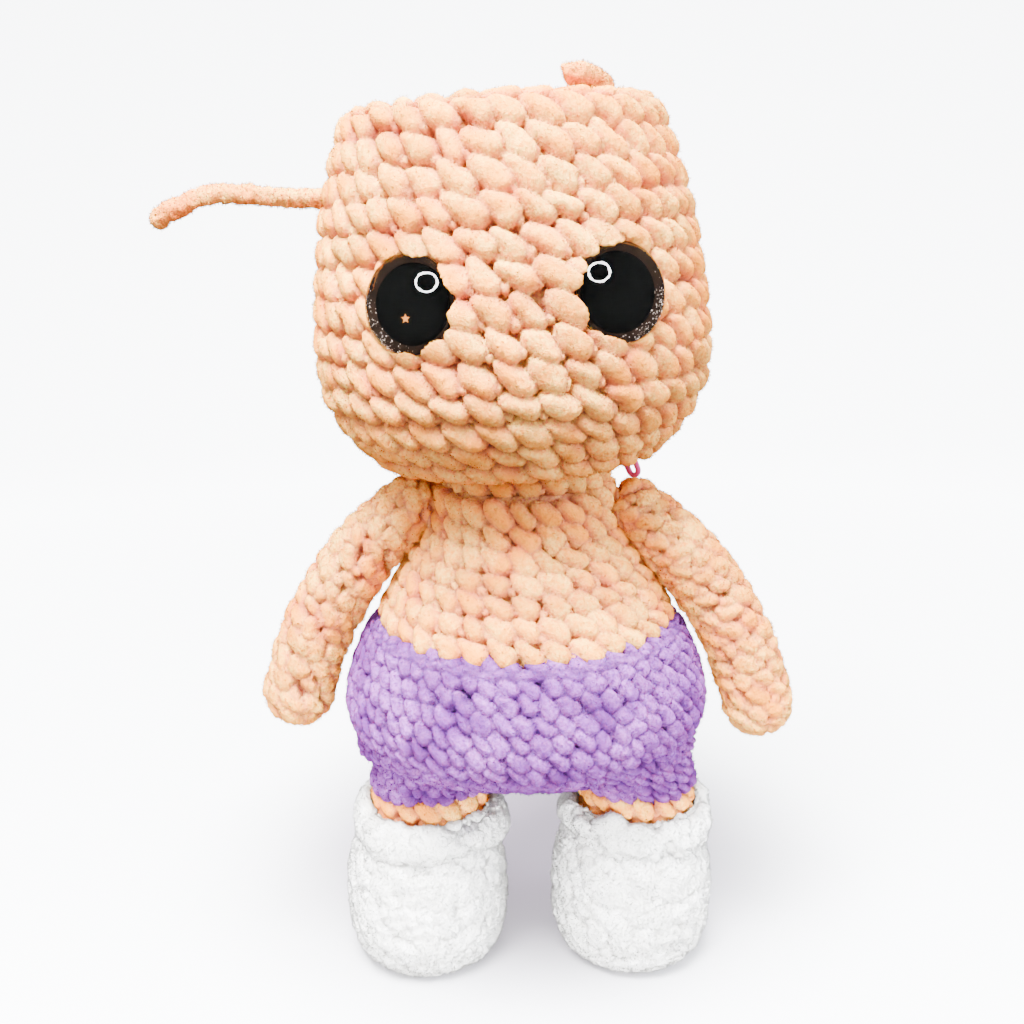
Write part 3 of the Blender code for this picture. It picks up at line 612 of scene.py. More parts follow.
def fuzz(piece, chance, keep_off=(), density=1):
    """Adds the pile's loose fibres: thin triangles that stand out and are lit like the cloth."""
    mesh = piece.data
    count = len(mesh.polygons)
    centre, normal = (read_values(mesh.polygons, name, np.float32, 3) for name in ("center", "normal"))
    area = read_values(mesh.polygons, "area", np.float32)
    first = read_values(mesh.polygons, "loop_start", np.int32)
    corner = read_values(mesh.loops, "vertex_index", np.int32)
    hairs = chance.choice(count, int(area.sum() * FUZZ_PER_AREA * density), p=area / area.sum())
    root = centre[hairs] + chance.normal(0, FUZZ_SCATTER, (len(hairs), 3))
    lean = unit(normal[hairs] + chance.normal(0, FUZZ_LEAN_SHARE, (len(hairs), 3)))
    side = np.cross(lean, chance.normal(0, 1, (len(hairs), 3)))
    side *= FUZZ_WIDTH / 2 / np.maximum(np.linalg.norm(side, axis=1), TINY)[:, None]
    tip = root + lean * (FUZZ_LENGTH * chance.uniform(*FUZZ_LENGTH_SHARES, len(hairs)))[:, None]
    kept = np.ones(len(hairs), bool)
    for place, reach in keep_off:
        local = carried(tip, place.inverted())
        kept &= (np.hypot(local[:, 0], local[:, 1]) > reach) | (np.abs(local[:, 2]) > reach)
    hairs, root, lean, side, tip = (values[kept] for values in (hairs, root, lean, side, tip))

    old = point_array(mesh)
    base = len(old)
    faces = [tuple(face.vertices) for face in mesh.polygons]
    faces += [(base + 3 * k, base + 3 * k + 1, base + 3 * k + 2) for k in range(len(hairs))]
    points = np.concatenate((old, np.stack((root - side, root + side, tip), axis=1).reshape(-1, 3)))
    shown = unit(normal[hairs] + FUZZ_LIGHT_SHARE * lean)
    normals = np.concatenate((
        read_values(mesh.vertices, "normal", np.float32, 3), np.repeat(shown, 3, axis=0)))
    rooted = corner[first[hairs]]
    fluffy = mesh_from(piece.name, points, faces)
    for name in ("tone", "depth", "crease"):
        layer = read_values(mesh.attributes[name].data, "value", np.float32)
        keep_values(fluffy, **{name: np.concatenate((layer, np.repeat(layer[rooted], 3)))})
    fluffy.shade_smooth()
    fluffy.normals_split_custom_set_from_vertices(normals.tolist())
    piece.data = fluffy
    print(f"  {len(hairs)} loose fibres")
    return piece


def dress(piece, finish, slot, body, *nodes, fill=None):
    """Gives a piece its finish, lets it stand for its plain solids, and sets it on their body."""
    piece.data.materials.clear()
    piece.data.materials.append(finish)
    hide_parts(*nodes)
    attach(piece, body)


# %% [markdown]
# ## Loose yarn ends
#
# Two ends of yarn were left uncut: one stands out from the side of the head and droops at its
# tip, the other lies on the flat top and peeps over its front edge. A bevelled curve would be too
# even, so each is a skin round a smooth path, roughed up like the rest of the yarn.

# %% Loose yarn ends
YARN_DIAMETER = 5.2 * MM
YARN_POINTS = 24
YARN_STEP = 0.5 * MM
YARN_SIDES = 24
YARN_TONE = 0.8
TIP_SHARE = 0.0004                      # the square of the share of its width that a tip keeps
BULGES = ((0.05, 3.1 * MM, 0), (0.04, 1.7 * MM, 1))
ROOT_LENGTH = 2.4 * MM
CURVE_PARTS = 12
SIDE_TAIL_ROUTE = (
    (-0.0560, 0.0000, 0.2385), (-0.0625, -0.0005, 0.2386), (-0.0690, -0.0015, 0.2391),
    (-0.0760, -0.0025, 0.2397), (-0.0825, -0.0035, 0.2400), (-0.0885, -0.0040, 0.2391),
    (-0.0940, -0.0045, 0.2366), (-0.0985, -0.0050, 0.2347), (-0.1012, -0.0050, 0.2308),
)
TOP_TAIL_ROUTE = (
    (0.0240, 0.0100, 0.2664), (0.0238, 0.0040, 0.2664), (0.0232, -0.0030, 0.2664),
    (0.0222, -0.0110, 0.2663), (0.0205, -0.0190, 0.2663), (0.0180, -0.0260, 0.2664),
    (0.0145, -0.0305, 0.2666), (0.0105, -0.0325, 0.2670),
)


def smooth_route(route):
    """Close points on a smooth curve through the route."""
    fine = []
    last = len(route) - 1
    for i in range(last):
        before, start = Vector(route[max(i - 1, 0)]), Vector(route[i])
        end, after = Vector(route[i + 1]), Vector(route[min(i + 2, last)])
        for part in range(CURVE_PARTS):
            t = part / CURVE_PARTS
            fine.append(0.5 * (
                2 * start + (end - before) * t
                + (2 * before - 5 * start + 4 * end - after) * t ** 2
                + (3 * start - before - 3 * end + after) * t ** 3
            ))
    return np.array(fine + [Vector(route[-1])])


def plain_tube(skin, sides):
    """A closed smooth tube on a skin."""
    rings = len(skin.along)
    turn = np.tile(np.arange(sides) * 2 * math.pi / sides, (rings, 1))
    along = np.tile(skin.along[:, None], (1, sides))
    points = on_skin(skin, along, turn, np.zeros(along.shape)).reshape(-1, 3)
    first, last, top = len(points), len(points) + 1, len(points) - sides
    faces, caps = [], []
    for k in range(sides):
        j = (k + 1) % sides
        caps += [(first, j, k), (last, top + k, top + j)]
    for low in range(0, top, sides):
        for k in range(sides):
            j = (k + 1) % sides
            faces.append((low + k, low + j, low + sides + j, low + sides + k))
    return capped(points, sides), faces + caps


def loose_end(name, route, root, seed):
    """A free end of yarn along a route, with a root that reaches back into the head."""
    route_line = smooth_route(route)
    path, length = spaced(route_line, YARN_POINTS), lengths_along(route_line)[-1]
    fine = resample(np.concatenate((np.array([route[0]]) + np.array([root]), path)), YARN_STEP)
    along = lengths_along(fine)
    left = np.minimum(along, along[-1] - along)
    radius = YARN_DIAMETER / 2
    tip = np.sqrt(np.clip(1 - (1 - np.clip(left / radius, 0, 1)) ** 2, TIP_SHARE, 1))
    swell = 1
    for share, wave, start in BULGES:
        swell = swell + share * np.sin(along / wave + start)
    skin = tube_skin(fine, radius * tip * swell, (0, 0, 1))
    piece = link(name, mesh_from(name, *plain_tube(skin, YARN_SIDES)))
    keep_values(piece.data, tone=YARN_TONE, depth=YARN_TONE, crease=0)
    make_plush(piece, TAIL_PILE)
    fuzz(piece, np.random.default_rng(seed), density=TAIL_PILE.fibres)
    dress(piece, PEACH_YARN, "pale_peach_yarn", "head", name)
    print(f"{name} is {length / MM:.0f} mm long")


loose_end("side_yarn_tail", SIDE_TAIL_ROUTE, (ROOT_LENGTH, 0, 0), 1)
loose_end("top_yarn_tail", TOP_TAIL_ROUTE, (0, ROOT_LENGTH, -ROOT_LENGTH / 2), 2)

# %% [markdown]
# ## The head
#
# The head is a bucket: it widens from the chin, is fullest low on the cheeks, narrows upwards and
# ends in a flat top with a sharp rim. It leans a little on the neck. Its stitches are the largest
# on the doll, in rounds about 8 mm tall.

# %% The head's frame and skin
NECK_PIVOT = Vector((0, 0, 142)) * MM
HEAD_LEAN = math.radians(-2.4)
HEAD_FOOT = Vector((0, 0, 162.1)) * MM
HEAD_RADIUS = 56.8 * MM
HEAD_HEIGHT = 100.2 * MM
HEAD_SHARES = (
    (0.02, 0.000), (0.52, 0.000), (0.72, 0.032), (0.88, 0.125), (0.98, 0.240), (1.00, 0.370),
    (0.975, 0.520), (0.92, 0.730), (0.845, 0.880), (0.79, 0.970), (0.76, 1.000), (0.02, 1.000),
)
HEAD_FRAME = (
    Matrix.Translation(NECK_PIVOT) @ Matrix.Rotation(HEAD_LEAN, 4, "Y")
    @ Matrix.Translation(HEAD_FOOT - NECK_PIVOT)
)


def outline(shares, radius, foot, height):
    return [(radius * across, foot + height * up) for across, up in shares]


def along_outline(skin, points, index):
    """How far along a skin a point of its outline lies. Rounding the corners made it a little shorter."""
    lengths = lengths_along(np.array(points))
    return lengths[index] / lengths[-1] * skin.along[-1]


HEAD_OUTLINE = outline(HEAD_SHARES, HEAD_RADIUS, 0, HEAD_HEIGHT)
head_skin = turned_skin(HEAD_OUTLINE, HEAD_FRAME, softening=4)
print(f"once over the head, from chin to crown, is {head_skin.along[-1] / MM:.0f} mm")

# %% The head's stitches
HEAD_ROUNDS = 14                        # up the head's side
HEAD_END_GAP = 2 * MM                   # the rounds stop this far from the middle of chin and crown
HEAD_STEP = 0.55 * MM
HEAD_THICKNESS = 4.3 * MM               # from the ground of the folds to the crown of a stitch
FLAT = ((0.0,), (0.0,))                 # for a skin that is sunk nowhere
HEAD_STITCH = Stitch(8.2 * MM, 9.0 * MM, 0.78, (
    Leg(13.2 * MM, 7.0 * MM, math.radians(-36), 0, 0, 0, 0.16),
    Leg(6.0 * MM, 5.0 * MM, math.radians(-30), -4.2 * MM, -2.6 * MM, -0.65, 0.05),
))


def make_head():
    chance = np.random.default_rng(11)
    end = head_skin.along[-1]
    chin, rim = (along_outline(head_skin, HEAD_OUTLINE, index) for index in (1, -2))
    side_stitch = HEAD_STITCH._replace(row=(rim - chin) / HEAD_ROUNDS)
    stitches = work(head_skin, HEAD_END_GAP, chin, HEAD_STITCH, chance)
    stitches += work(head_skin, chin, rim, side_stitch, chance)
    stitches += work(head_skin, rim, end - HEAD_END_GAP, HEAD_STITCH, chance)
    return make_cloth("head", [(head_skin, stitches, FLAT)], chance, HEAD_THICKNESS, step=HEAD_STEP)


head = make_head()

# %% [markdown]
# ## Where the eyes sit
#
# A safety eye has a post that goes through a hole between stitches and is clamped by a washer
# inside, so it pulls the fabric in and sits in a shallow dish. The points of the cloth that lie
# under an eye are pressed down behind it, and the stitches round it stay proud of its rim.

# %% Seats for the eyes
EYE_RADIUS = 12.6 * MM
EYE_EDGE = 0.9 * MM
EYE_HEIGHT = 6.7 * MM
EYE_SPREAD = 26.6 * MM
EYE_LEVEL = 50.6 * MM
EYE_BEARING = math.radians(25)
FACE_SHIFT = 1.2 * MM                   # the face's middle lies this far to the doll's left
EYE_SEAT_DEPTH = 2.0 * MM
EYE_SEAT_SLOPE = 0.9 * MM
SEAT_GAP = 0.4 * MM                     # between an eye's back and the cloth pressed down behind it
LEAN_OVER = 1.8 * MM                    # how far high stitches lean in over a sunken rim
LEAN_REACH = 6 * MM
LEAST_REACH = 1 * MM
PUFF_HEIGHT = 0.9 * MM                  # the cloth swells beside an eye, most towards the nose
PUFF_REACH = 8 * MM
PUFF_SHARES = (0.35, 0.65)              # how much it swells above an eye, and what the nose's side adds
EYE_CURVE = (EYE_RADIUS ** 2 + (EYE_HEIGHT - EYE_EDGE) ** 2) / (2 * (EYE_HEIGHT - EYE_EDGE))


def head_radius(level):
    """The radius of the head's side at a height above its foot."""
    radii, heights = zip(*HEAD_OUTLINE[1:-1])
    return float(np.interp(level, heights, radii))


def eye_frame(sign):
    """An eye's frame: Z points out of the face, and the dome's flat back lies at Z = 0."""
    radius = head_radius(EYE_LEVEL)
    across = FACE_SHIFT + sign * EYE_SPREAD
    rise = math.atan2(
        head_radius(EYE_LEVEL - EYE_RADIUS) - head_radius(EYE_LEVEL + EYE_RADIUS), 2 * EYE_RADIUS)
    outward = Vector((
        sign * math.sin(EYE_BEARING) * math.cos(rise),
        -math.cos(EYE_BEARING) * math.cos(rise),
        math.sin(rise),
    ))
    surface = Vector((across, -math.sqrt(radius ** 2 - across ** 2), EYE_LEVEL))
    turn = outward.to_track_quat("Z", "Y").to_matrix().to_4x4()
    return HEAD_FRAME @ Matrix.Translation(surface - outward * EYE_SEAT_DEPTH) @ turn


def press_seat(piece, place, sign):
    """Presses the cloth down behind an eye, and swells it beside the eye."""
    local = carried(point_array(piece.data), place.inverted())
    reach = np.hypot(local[:, 0], local[:, 1])
    floor = -SEAT_GAP + np.clip((reach - EYE_RADIUS) / EYE_SEAT_SLOPE, 0, 1) * EYE_HEIGHT
    beside = np.clip((reach - EYE_RADIUS + EYE_EDGE) / EYE_EDGE, 0, 1)
    beside *= 1 - np.clip((reach - EYE_RADIUS) / PUFF_REACH, 0, 1) ** 2
    around, nose = PUFF_SHARES
    nose_side = np.clip(around - nose * sign * local[:, 0] / np.maximum(reach, LEAST_REACH), 0, 1)
    facing = np.abs(local[:, 2]) < 2 * EYE_HEIGHT
    local[facing, 2] += (PUFF_HEIGHT * beside * nose_side)[facing]
    near = (reach < EYE_RADIUS + EYE_SEAT_SLOPE) & facing
    local[near, 2] = np.minimum(local[near, 2], floor[near])

    height = local[:, 2]
    above = np.clip((height - EYE_EDGE / 2) / (2 * EYE_EDGE), 0, 1)
    close = 1 - np.clip((reach - EYE_RADIUS - EYE_SEAT_SLOPE) / LEAN_REACH, 0, 1)
    dome = np.sqrt(np.clip(EYE_CURVE ** 2 - (height - EYE_HEIGHT + EYE_CURVE) ** 2, 0, EYE_RADIUS ** 2))
    leaning = (reach > EYE_RADIUS - EYE_EDGE) & (height > EYE_EDGE / 2) & (height < 2 * EYE_HEIGHT)
    wanted = np.maximum(reach - LEAN_OVER * above * close, dome + EYE_EDGE / 4)
    scale = np.where(leaning & (wanted < reach), wanted / np.maximum(reach, LEAST_REACH), 1)
    local[:, :2] *= scale[:, None]
    set_points(piece.data, carried(local, place))
    print(f"  {int(near.sum())} points pressed")


for sign in SIDES.values():
    press_seat(head, eye_frame(sign), sign)
fuzz(head, np.random.default_rng(12), [(eye_frame(sign), EYE_RADIUS) for sign in SIDES.values()])
dress(head, PEACH_YARN, "peach_yarn", "head", "head_cover", "head_stuffing", fill=0.9)

# %% [markdown]
# ## The eyes
#
# Each eye is a clear moulded dome over a black pupil, with a ring of glitter behind it. The dome
# bends light, so the black disc looks larger than it is and fills the dome nearly to its rim.
# A plain black half ball would lose that depth, so the dome is a real solid of clear plastic
# with the pupil and the glitter disc sealed inside it.

# %% The eyes' finishes
GRAIN_STRENGTH = 0.3
CLEAR_GRAIN = (6 * MM, 0.0015 * MM)     # the size and the height of each plastic's unevenness
PUPIL_GRAIN = (4 * MM, 0.02 * MM)
GOLD_GRAIN = (1 * MM, 0.02 * MM)
WASHER_GRAIN = (1.5 * MM, 0.04 * MM)
FLAKE_SPACING = 0.26 * MM
FLAKE_SHARES = (0.70, 0.82)             # where the film ends and a flake begins
FILM_BROWN = (0.012, 0.007, 0.005)
# painted glint: the pale colour of a flake that catches the light
FLAKE_GLINT_COLOUR = (0.95, 0.80, 0.70)


def plain_finish(name, colour, roughness, grain=None, **values):
    """A finish of one colour. The grain is the size and the height of a fine unevenness."""
    finish = Nodes(bpy.data.materials.new(name), Base_Color=(*colour, 1), Roughness=roughness, **values)
    if grain:
        finish.bump(finish.noise(grain[0], 2), GRAIN_STRENGTH, grain[1])
    return finish


def glitter_finish():
    """Dark brown film with tiny flakes, whose pale colour is a painted glint."""
    finish = plain_finish("glitter_film", FILM_BROWN, 0.5, Specular_IOR_Level=0)
    flakes = finish.add("TexVoronoi", Scale=1 / FLAKE_SPACING)
    finish.join(finish.place.outputs["Object"], flakes.inputs["Vector"])
    glint_mask = finish.times(flakes.outputs["Color"], finish.value("sparkle"))
    finish.shade(Base_Color=finish.ramp(glint_mask, FLAKE_SHARES, (FILM_BROWN, FLAKE_GLINT_COLOUR)))
    return finish.owner


CLEAR_PLASTIC = plain_finish(
    "clear_plastic", (1, 1, 1), 0.01, CLEAR_GRAIN, Transmission_Weight=1.0, IOR=1.49).owner
BLACK_PLASTIC = plain_finish(
    "black_plastic", (0.002, 0.002, 0.002), 0.6, PUPIL_GRAIN, Specular_IOR_Level=0).owner
GOLD_FLAKE = plain_finish("gold_flake", (0.55, 0.17, 0.012), 0.5, GOLD_GRAIN).owner
WASHER_PLASTIC = plain_finish("washer_plastic", (0.72, 0.72, 0.7), 0.45, WASHER_GRAIN).owner
GLITTER_FILM = glitter_finish()

# %% The eyes
TURN_SIDES = 112
DOME_STEPS = 36
SHARP_ANGLE = math.radians(40)
LENS_BEVEL = 0.2 * MM
PUPIL_RADIUS = 9.4 * MM                 # a printed disc, which the lens makes look wider
PUPIL_SHIFT = 1.9 * MM                  # towards the nose
PUPIL_TOP = 1.1 * MM
PUPIL_FOOT = 0.8 * MM
PUPIL_BEVEL = 0.3 * MM
GLITTER_RADIUS = 12.1 * MM
GLITTER_FOOT = 0.3 * MM
FILM_RINGS = 6
# painted glints: how many flakes are pale, most on the outer, lower side
GLINT_SHARE = 0.66
GLINT_SIDE = (0.8, -0.6)              # the flakes shine most on the outer, lower side
GLINT_SPREAD = 0.30
STAR_RADIUS = 1.1 * MM
STAR_INNER_SHARE = 0.45
STAR_POINTS = 5
STAR_TURN = 0.3
STAR_DROP = 3.0 * MM
STAR_LIFT = 0.15 * MM
STAR_THICKNESS = 0.08 * MM


def turned_mesh(name, outline_points, place, rings_between=1):
    """A closed mesh turned about Z from (radius, height) points that run from axis to axis."""
    points, rings = [], []
    corners = np.array(outline_points, float)
    shares = np.linspace(0, len(corners) - 1, (len(corners) - 1) * rings_between + 1)
    for share in shares:
        radius, height = (np.interp(share, range(len(corners)), corners[:, k]) for k in (0, 1))
        sides = 1 if radius < TINY else TURN_SIDES
        rings.append([len(points) + k % sides for k in range(TURN_SIDES)])
        for k in range(sides):
            angle = 2 * math.pi * k / sides
            points.append((radius * math.cos(angle), radius * math.sin(angle), height))
    faces = []
    for low, high in zip(rings, rings[1:]):
        for k in range(TURN_SIDES):
            j = (k + 1) % TURN_SIDES
            faces.append((low[k], low[j], high[j], high[k]))
    mesh = mesh_from(name, points, [face for face in faces if len(set(face)) > 2])
    mesh.transform(place)
    mesh.update()
    mesh.shade_smooth()
    mesh.set_sharp_from_angle(angle=SHARP_ANGLE)
    return link(name, mesh)


def make_star(place):
    """A small flat star that lies on the pupil."""
    points = []
    for i in range(2 * STAR_POINTS):
        radius = STAR_RADIUS if i % 2 == 0 else STAR_RADIUS * STAR_INNER_SHARE
        angle = math.pi * i / STAR_POINTS + STAR_TURN
        points.append((radius * math.cos(angle), radius * math.sin(angle) - STAR_DROP, PUPIL_TOP + STAR_LIFT))
    mesh = mesh_from("star_flake", points, [range(len(points))])
    mesh.transform(place)
    mesh.materials.append(GOLD_FLAKE)
    star = link("star_flake", mesh)
    star.modifiers.new("thick", "SOLIDIFY").thickness = STAR_THICKNESS
    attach(applied(star), "head")


def make_eye(label, sign):
    place = eye_frame(sign)
    half_angle = math.asin(EYE_RADIUS / EYE_CURVE)
    dome = [(0, 0), (EYE_RADIUS - LENS_BEVEL, 0), (EYE_RADIUS, LENS_BEVEL)]
    for i in range(DOME_STEPS + 1):
        angle = half_angle * (1 - i / DOME_STEPS)
        dome.append((EYE_CURVE * math.sin(angle), EYE_CURVE * (math.cos(angle) - 1) + EYE_HEIGHT))
    lens = turned_mesh(label + "_eye_lens", dome, place)
    dress(lens, CLEAR_PLASTIC, "clear_plastic", "head", label + "_eye_dome")

    disc = [(0, PUPIL_FOOT), (PUPIL_RADIUS, PUPIL_FOOT), (PUPIL_RADIUS, PUPIL_TOP - PUPIL_BEVEL),
            (PUPIL_RADIUS - PUPIL_BEVEL, PUPIL_TOP), (0, PUPIL_TOP)]
    pupil = turned_mesh(label + "_pupil", disc, place @ Matrix.Translation((-sign * PUPIL_SHIFT, 0, 0)))
    dress(pupil, BLACK_PLASTIC, "black_plastic", "head", label + "_eye_pupil")

    film = [(0, GLITTER_FOOT), (GLITTER_RADIUS, GLITTER_FOOT), (GLITTER_RADIUS, PUPIL_FOOT), (0, PUPIL_FOOT)]
    glitter = turned_mesh(label + "_glitter", film, place, rings_between=FILM_RINGS)
    local = carried(point_array(glitter.data), place.inverted())
    across, up = GLINT_SIDE
    toward = np.clip((sign * local[:, 0] * across + local[:, 1] * up) / GLITTER_RADIUS, -1, 1)
    # painted glints, more of them on the outer, lower side
    keep_values(glitter.data, sparkle=GLINT_SHARE + GLINT_SPREAD * toward)
    dress(glitter, GLITTER_FILM, "glitter_plastic", "head", label + "_eye_glitter")

    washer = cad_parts[label + "_eye_washer"]
    washer.data.materials.clear()
    washer.data.materials.append(WASHER_PLASTIC)


for label, sign in SIDES.items():
    make_eye(label, sign)
make_star(eye_frame(-1))

# %% [markdown]
# ## The torso and the shorts
#
# Torso and shorts are one pear-shaped bag. The colour changes from peach to lilac at the waist,
# where the tips of the last peach stitches overlap the first lilac round and make a jagged edge.
# A painted line could not do that, so each colour is a cloth of its own. Near the waist the
# lilac one is sunk a little, and the peach leaves lie on it.

# %% The torso
HIP_RADIUS = 55.5 * MM
BODY_DEPTH_SHARE = 0.9
BODY_FOOT = 65 * MM
NECK_HEIGHT = 157 * MM
WAIST_HEIGHT = 118.5 * MM
WAIST_TILT = 4.0 * MM                   # the waist dips this far at the front
BODY_SHARES = (
    (0.02, 0.000), (0.36, 0.012), (0.56, 0.052), (0.74, 0.102), (0.91, 0.160), (0.985, 0.220),
    (1.00, 0.280), (0.975, 0.370), (0.90, 0.490), (0.79, 0.600), (0.665, 0.735), (0.55, 0.850),
    (0.51, 0.930), (0.495, 1.000),
)
FLARE_FOOT = 66 * MM                    # below the hips the shorts' sides hang nearly straight down
FLARE_RISE = 8 * MM
FLARE_END = 88 * MM
FLARE_RADIUS = 52.5 * MM
BODY_THICKNESS = 3.5 * MM
TORSO_START = 0.5 * MM                  # the first peach round starts this far above the waist
TORSO_PAST = 2 * MM                     # and the last one goes on this far past the neck
WAIST_OVERLAP = 6 * MM                  # the peach tube goes on this far under the lilac one
BODY_STITCH = Stitch(6.0 * MM, 7.6 * MM, 0.98, (
    Leg(10.4 * MM, 5.9 * MM, math.radians(-38), 0, 0, 0, 0.25),
    Leg(5.2 * MM, 3.8 * MM, math.radians(-35), -3.6 * MM, -1.9 * MM, -0.7, 0.05),
))


def flared(skin):
    """A skin whose sides hang down from the hips."""
    heights = skin.centres[:, 2]
    flare = np.sqrt(np.clip((heights - FLARE_FOOT) / FLARE_RISE, 0, 1)) * (heights < FLARE_END)
    return skin._replace(wide=np.maximum(skin.wide, FLARE_RADIUS * flare))


def part_of_skin(skin, start, end):
    """The stretch of a skin between two lengths along it."""
    keep = (skin.along >= start) & (skin.along <= end)
    return Skin(*(values[keep] for values in skin))


BODY_OUTLINE = outline(BODY_SHARES, HIP_RADIUS, BODY_FOOT, NECK_HEIGHT - BODY_FOOT)
body_skin = flared(turned_skin(BODY_OUTLINE, UPRIGHT, BODY_DEPTH_SHARE))
waist = height_along(body_skin, WAIST_HEIGHT)


def make_torso():
    chance = np.random.default_rng(21)
    top = body_skin.along[-1]
    stitches = work(body_skin, waist + TORSO_START, top + TORSO_PAST, BODY_STITCH, chance, WAIST_TILT)
    upper = part_of_skin(body_skin, waist - WAIST_OVERLAP, top)
    return make_cloth("torso", [(upper, stitches, FLAT)], chance, BODY_THICKNESS)


torso = fuzz(make_torso(), np.random.default_rng(22))
dress(torso, PEACH_YARN, "peach_yarn", "body", "torso_cover", "body_stuffing", fill=0.85)

# %% The shorts
LEG_SPREAD = 33 * MM
LEG_SHIFT = 2 * MM
LEG_SETBACK = 3 * MM
LEG_RADIUS = 19.2 * MM
THIGH_RISE = 22 * MM
THIGH_INSET = 6.0 * MM                  # a thigh comes this much nearer the middle, up to the belly
THIGH_FILL = 13.0 * MM                  # and gets this much thicker
THIGH_LEAN = 8 * MM                     # and leans forward this much
HEM_OVERLAP = 3 * MM
HEM_HEIGHT = 59.5 * MM
CROTCH_RISE = 3 * MM                    # the lowest rounds are counted from here
CROTCH_DROP = 10 * MM                   # and start this far below it
SHORTS_END = 2.5 * MM                   # the last lilac round ends this far above the waist
WAIST_SINK = 2.0 * MM
BAND_DROP = 3.6 * MM
BAND_RISE = 1 * MM
SHORTS_STITCH = Stitch(5.6 * MM, 5.6 * MM, 0.16, (
    Leg(9.0 * MM, 5.3 * MM, math.radians(-50), 0, 0, 0, 0.25),
    Leg(4.6 * MM, 3.2 * MM, math.radians(-50), -2.6 * MM, -1.8 * MM, -0.7, 0.05),
))
WAIST_BAND = Stitch(SHORTS_STITCH.row, 9 * MM, 0, (     # the first lilac round is stretched smooth
    Leg(19 * MM, 4.4 * MM, 0, 0, 0, 0.12, 0),
), 0.3)


def leg_place(sign):
    return Matrix.Translation((LEG_SHIFT + sign * LEG_SPREAD, LEG_SETBACK, 0))


def thigh_skin(sign):
    """The skin of a thigh, from under the hem up into the belly, which hangs forward over it."""
    heights = np.arange(HEM_HEIGHT - HEM_OVERLAP, HEM_HEIGHT + THIGH_RISE, SKIN_STEP)
    share = np.clip((heights - HEM_HEIGHT) / THIGH_RISE, 0, 1)
    place = leg_place(sign).translation
    centres = np.stack(
        [place.x - sign * THIGH_INSET * share, place.y - THIGH_LEAN * share, heights], axis=1)
    across, deep = np.zeros_like(centres), np.zeros_like(centres)
    across[:, 0], deep[:, 1] = 1, 1
    wide = np.full(len(heights), LEG_RADIUS)
    return Skin(centres, across, deep, wide, LEG_RADIUS + THIGH_FILL * share, lengths_along(centres))


def make_shorts():
    chance = np.random.default_rng(31)
    hips = height_along(body_skin, BODY_FOOT + CROTCH_RISE)
    band = waist - BAND_DROP
    stitches = work(body_skin, hips - CROTCH_DROP, waist + SHORTS_END, SHORTS_STITCH, chance, WAIST_TILT)
    stitches += work(body_skin, band, band + BAND_RISE, WAIST_BAND, chance, WAIST_TILT)
    lower = part_of_skin(body_skin, 0, waist + WAIST_OVERLAP)
    parts = [(lower, stitches, ((waist - WAIST_OVERLAP, waist), (0, WAIST_SINK)))]
    for sign in SIDES.values():
        leg_skin = thigh_skin(sign)
        stitches = work(leg_skin, HEM_OVERLAP, leg_skin.along[-1], SHORTS_STITCH, chance)
        parts.append((leg_skin, stitches, FLAT))
    return make_cloth("shorts", parts, chance, BODY_THICKNESS)


shorts = fuzz(make_shorts(), np.random.default_rng(32))
dress(shorts, LILAC_YARN, "lilac_yarn", "body", "shorts_cover", fill=0.85)

# %% [markdown]
# ## Legs and shoes
#
# Between the shorts and the shoes a narrow band of peach leg shows. Each shoe is a round white
# pot of the fluffiest yarn, and round its top lies a thick soft band like a turned-down cuff.
# The long pile hides most of the stitches, so the domes here are wide and flat, and get a
# rougher pile.

# %% The leg bands
BAND_FOOT = 46 * MM
BAND_RADIUS = 18.4 * MM
BAND_START = 1 * MM
BAND_STITCH = BODY_STITCH._replace(wobble=1.3)


def make_band(label, sign):
    chance = np.random.default_rng(41 + sign)
    skin = turned_skin([(BAND_RADIUS, BAND_FOOT), (BAND_RADIUS, HEM_HEIGHT)], leg_place(sign))
    stitches = work(skin, BAND_START, skin.along[-1], BAND_STITCH, chance)
    cloth = make_cloth(label + "_leg", [(skin, stitches, FLAT)], chance, BODY_THICKNESS)
    fuzz(cloth, chance)
    dress(cloth, PEACH_YARN, "peach_yarn", "body", label + "_leg_band", label + "_leg_stuffing", fill=0.9)


for label, sign in SIDES.items():
    make_band(label, sign)

# %% The shoes
SHOE_RADIUS = 25.6 * MM
SHOE_HEIGHT = 45.7 * MM
SHOE_SHARES = (
    (0.02, 0.000), (0.62, 0.000), (0.80, 0.045), (0.935, 0.160), (1.00, 0.370),
    (0.99, 0.640), (0.93, 0.830), (0.83, 0.950), (0.74, 1.000),
)
SHOE_SHIFT = 1.7 * MM                   # the shoes are on a little askew
SHOE_THICKNESS = 2.2 * MM
SOLE_GAP = 0.1 * MM
SHOE_STITCH = Stitch(9.0 * MM, 8.5 * MM, LOOSE_SLIP, (
    Leg(11.5 * MM, 10.0 * MM, math.radians(-28), 0, 0, 0, 0.1),
    Leg(9.0 * MM, 8.0 * MM, math.radians(-20), -4.5 * MM, -4.2 * MM, -0.15, 0.05),
), 2)


def flatten_sole(piece):
    """Sets what reaches below the floor on the floor."""
    points = point_array(piece.data)
    points[:, 2] = np.maximum(points[:, 2], SOLE_GAP)
    set_points(piece.data, points)


def make_shoe(label, sign):
    chance = np.random.default_rng(51 + sign)
    place = leg_place(sign) @ Matrix.Translation((-SHOE_SHIFT, 0, 0))
    skin = turned_skin(outline(SHOE_SHARES, SHOE_RADIUS, 0, SHOE_HEIGHT), place)
    stitches = work(skin, 0, skin.along[-1], SHOE_STITCH, chance)
    cloth = make_cloth(label + "_shoe_cloth", [(skin, stitches, FLAT)], chance, SHOE_THICKNESS, SHOE_PILE)
    fuzz(cloth, chance, density=SHOE_PILE.fibres)
    flatten_sole(cloth)
    dress(cloth, WHITE_YARN, "white_yarn", "body", label + "_shoe", fill=0.9)


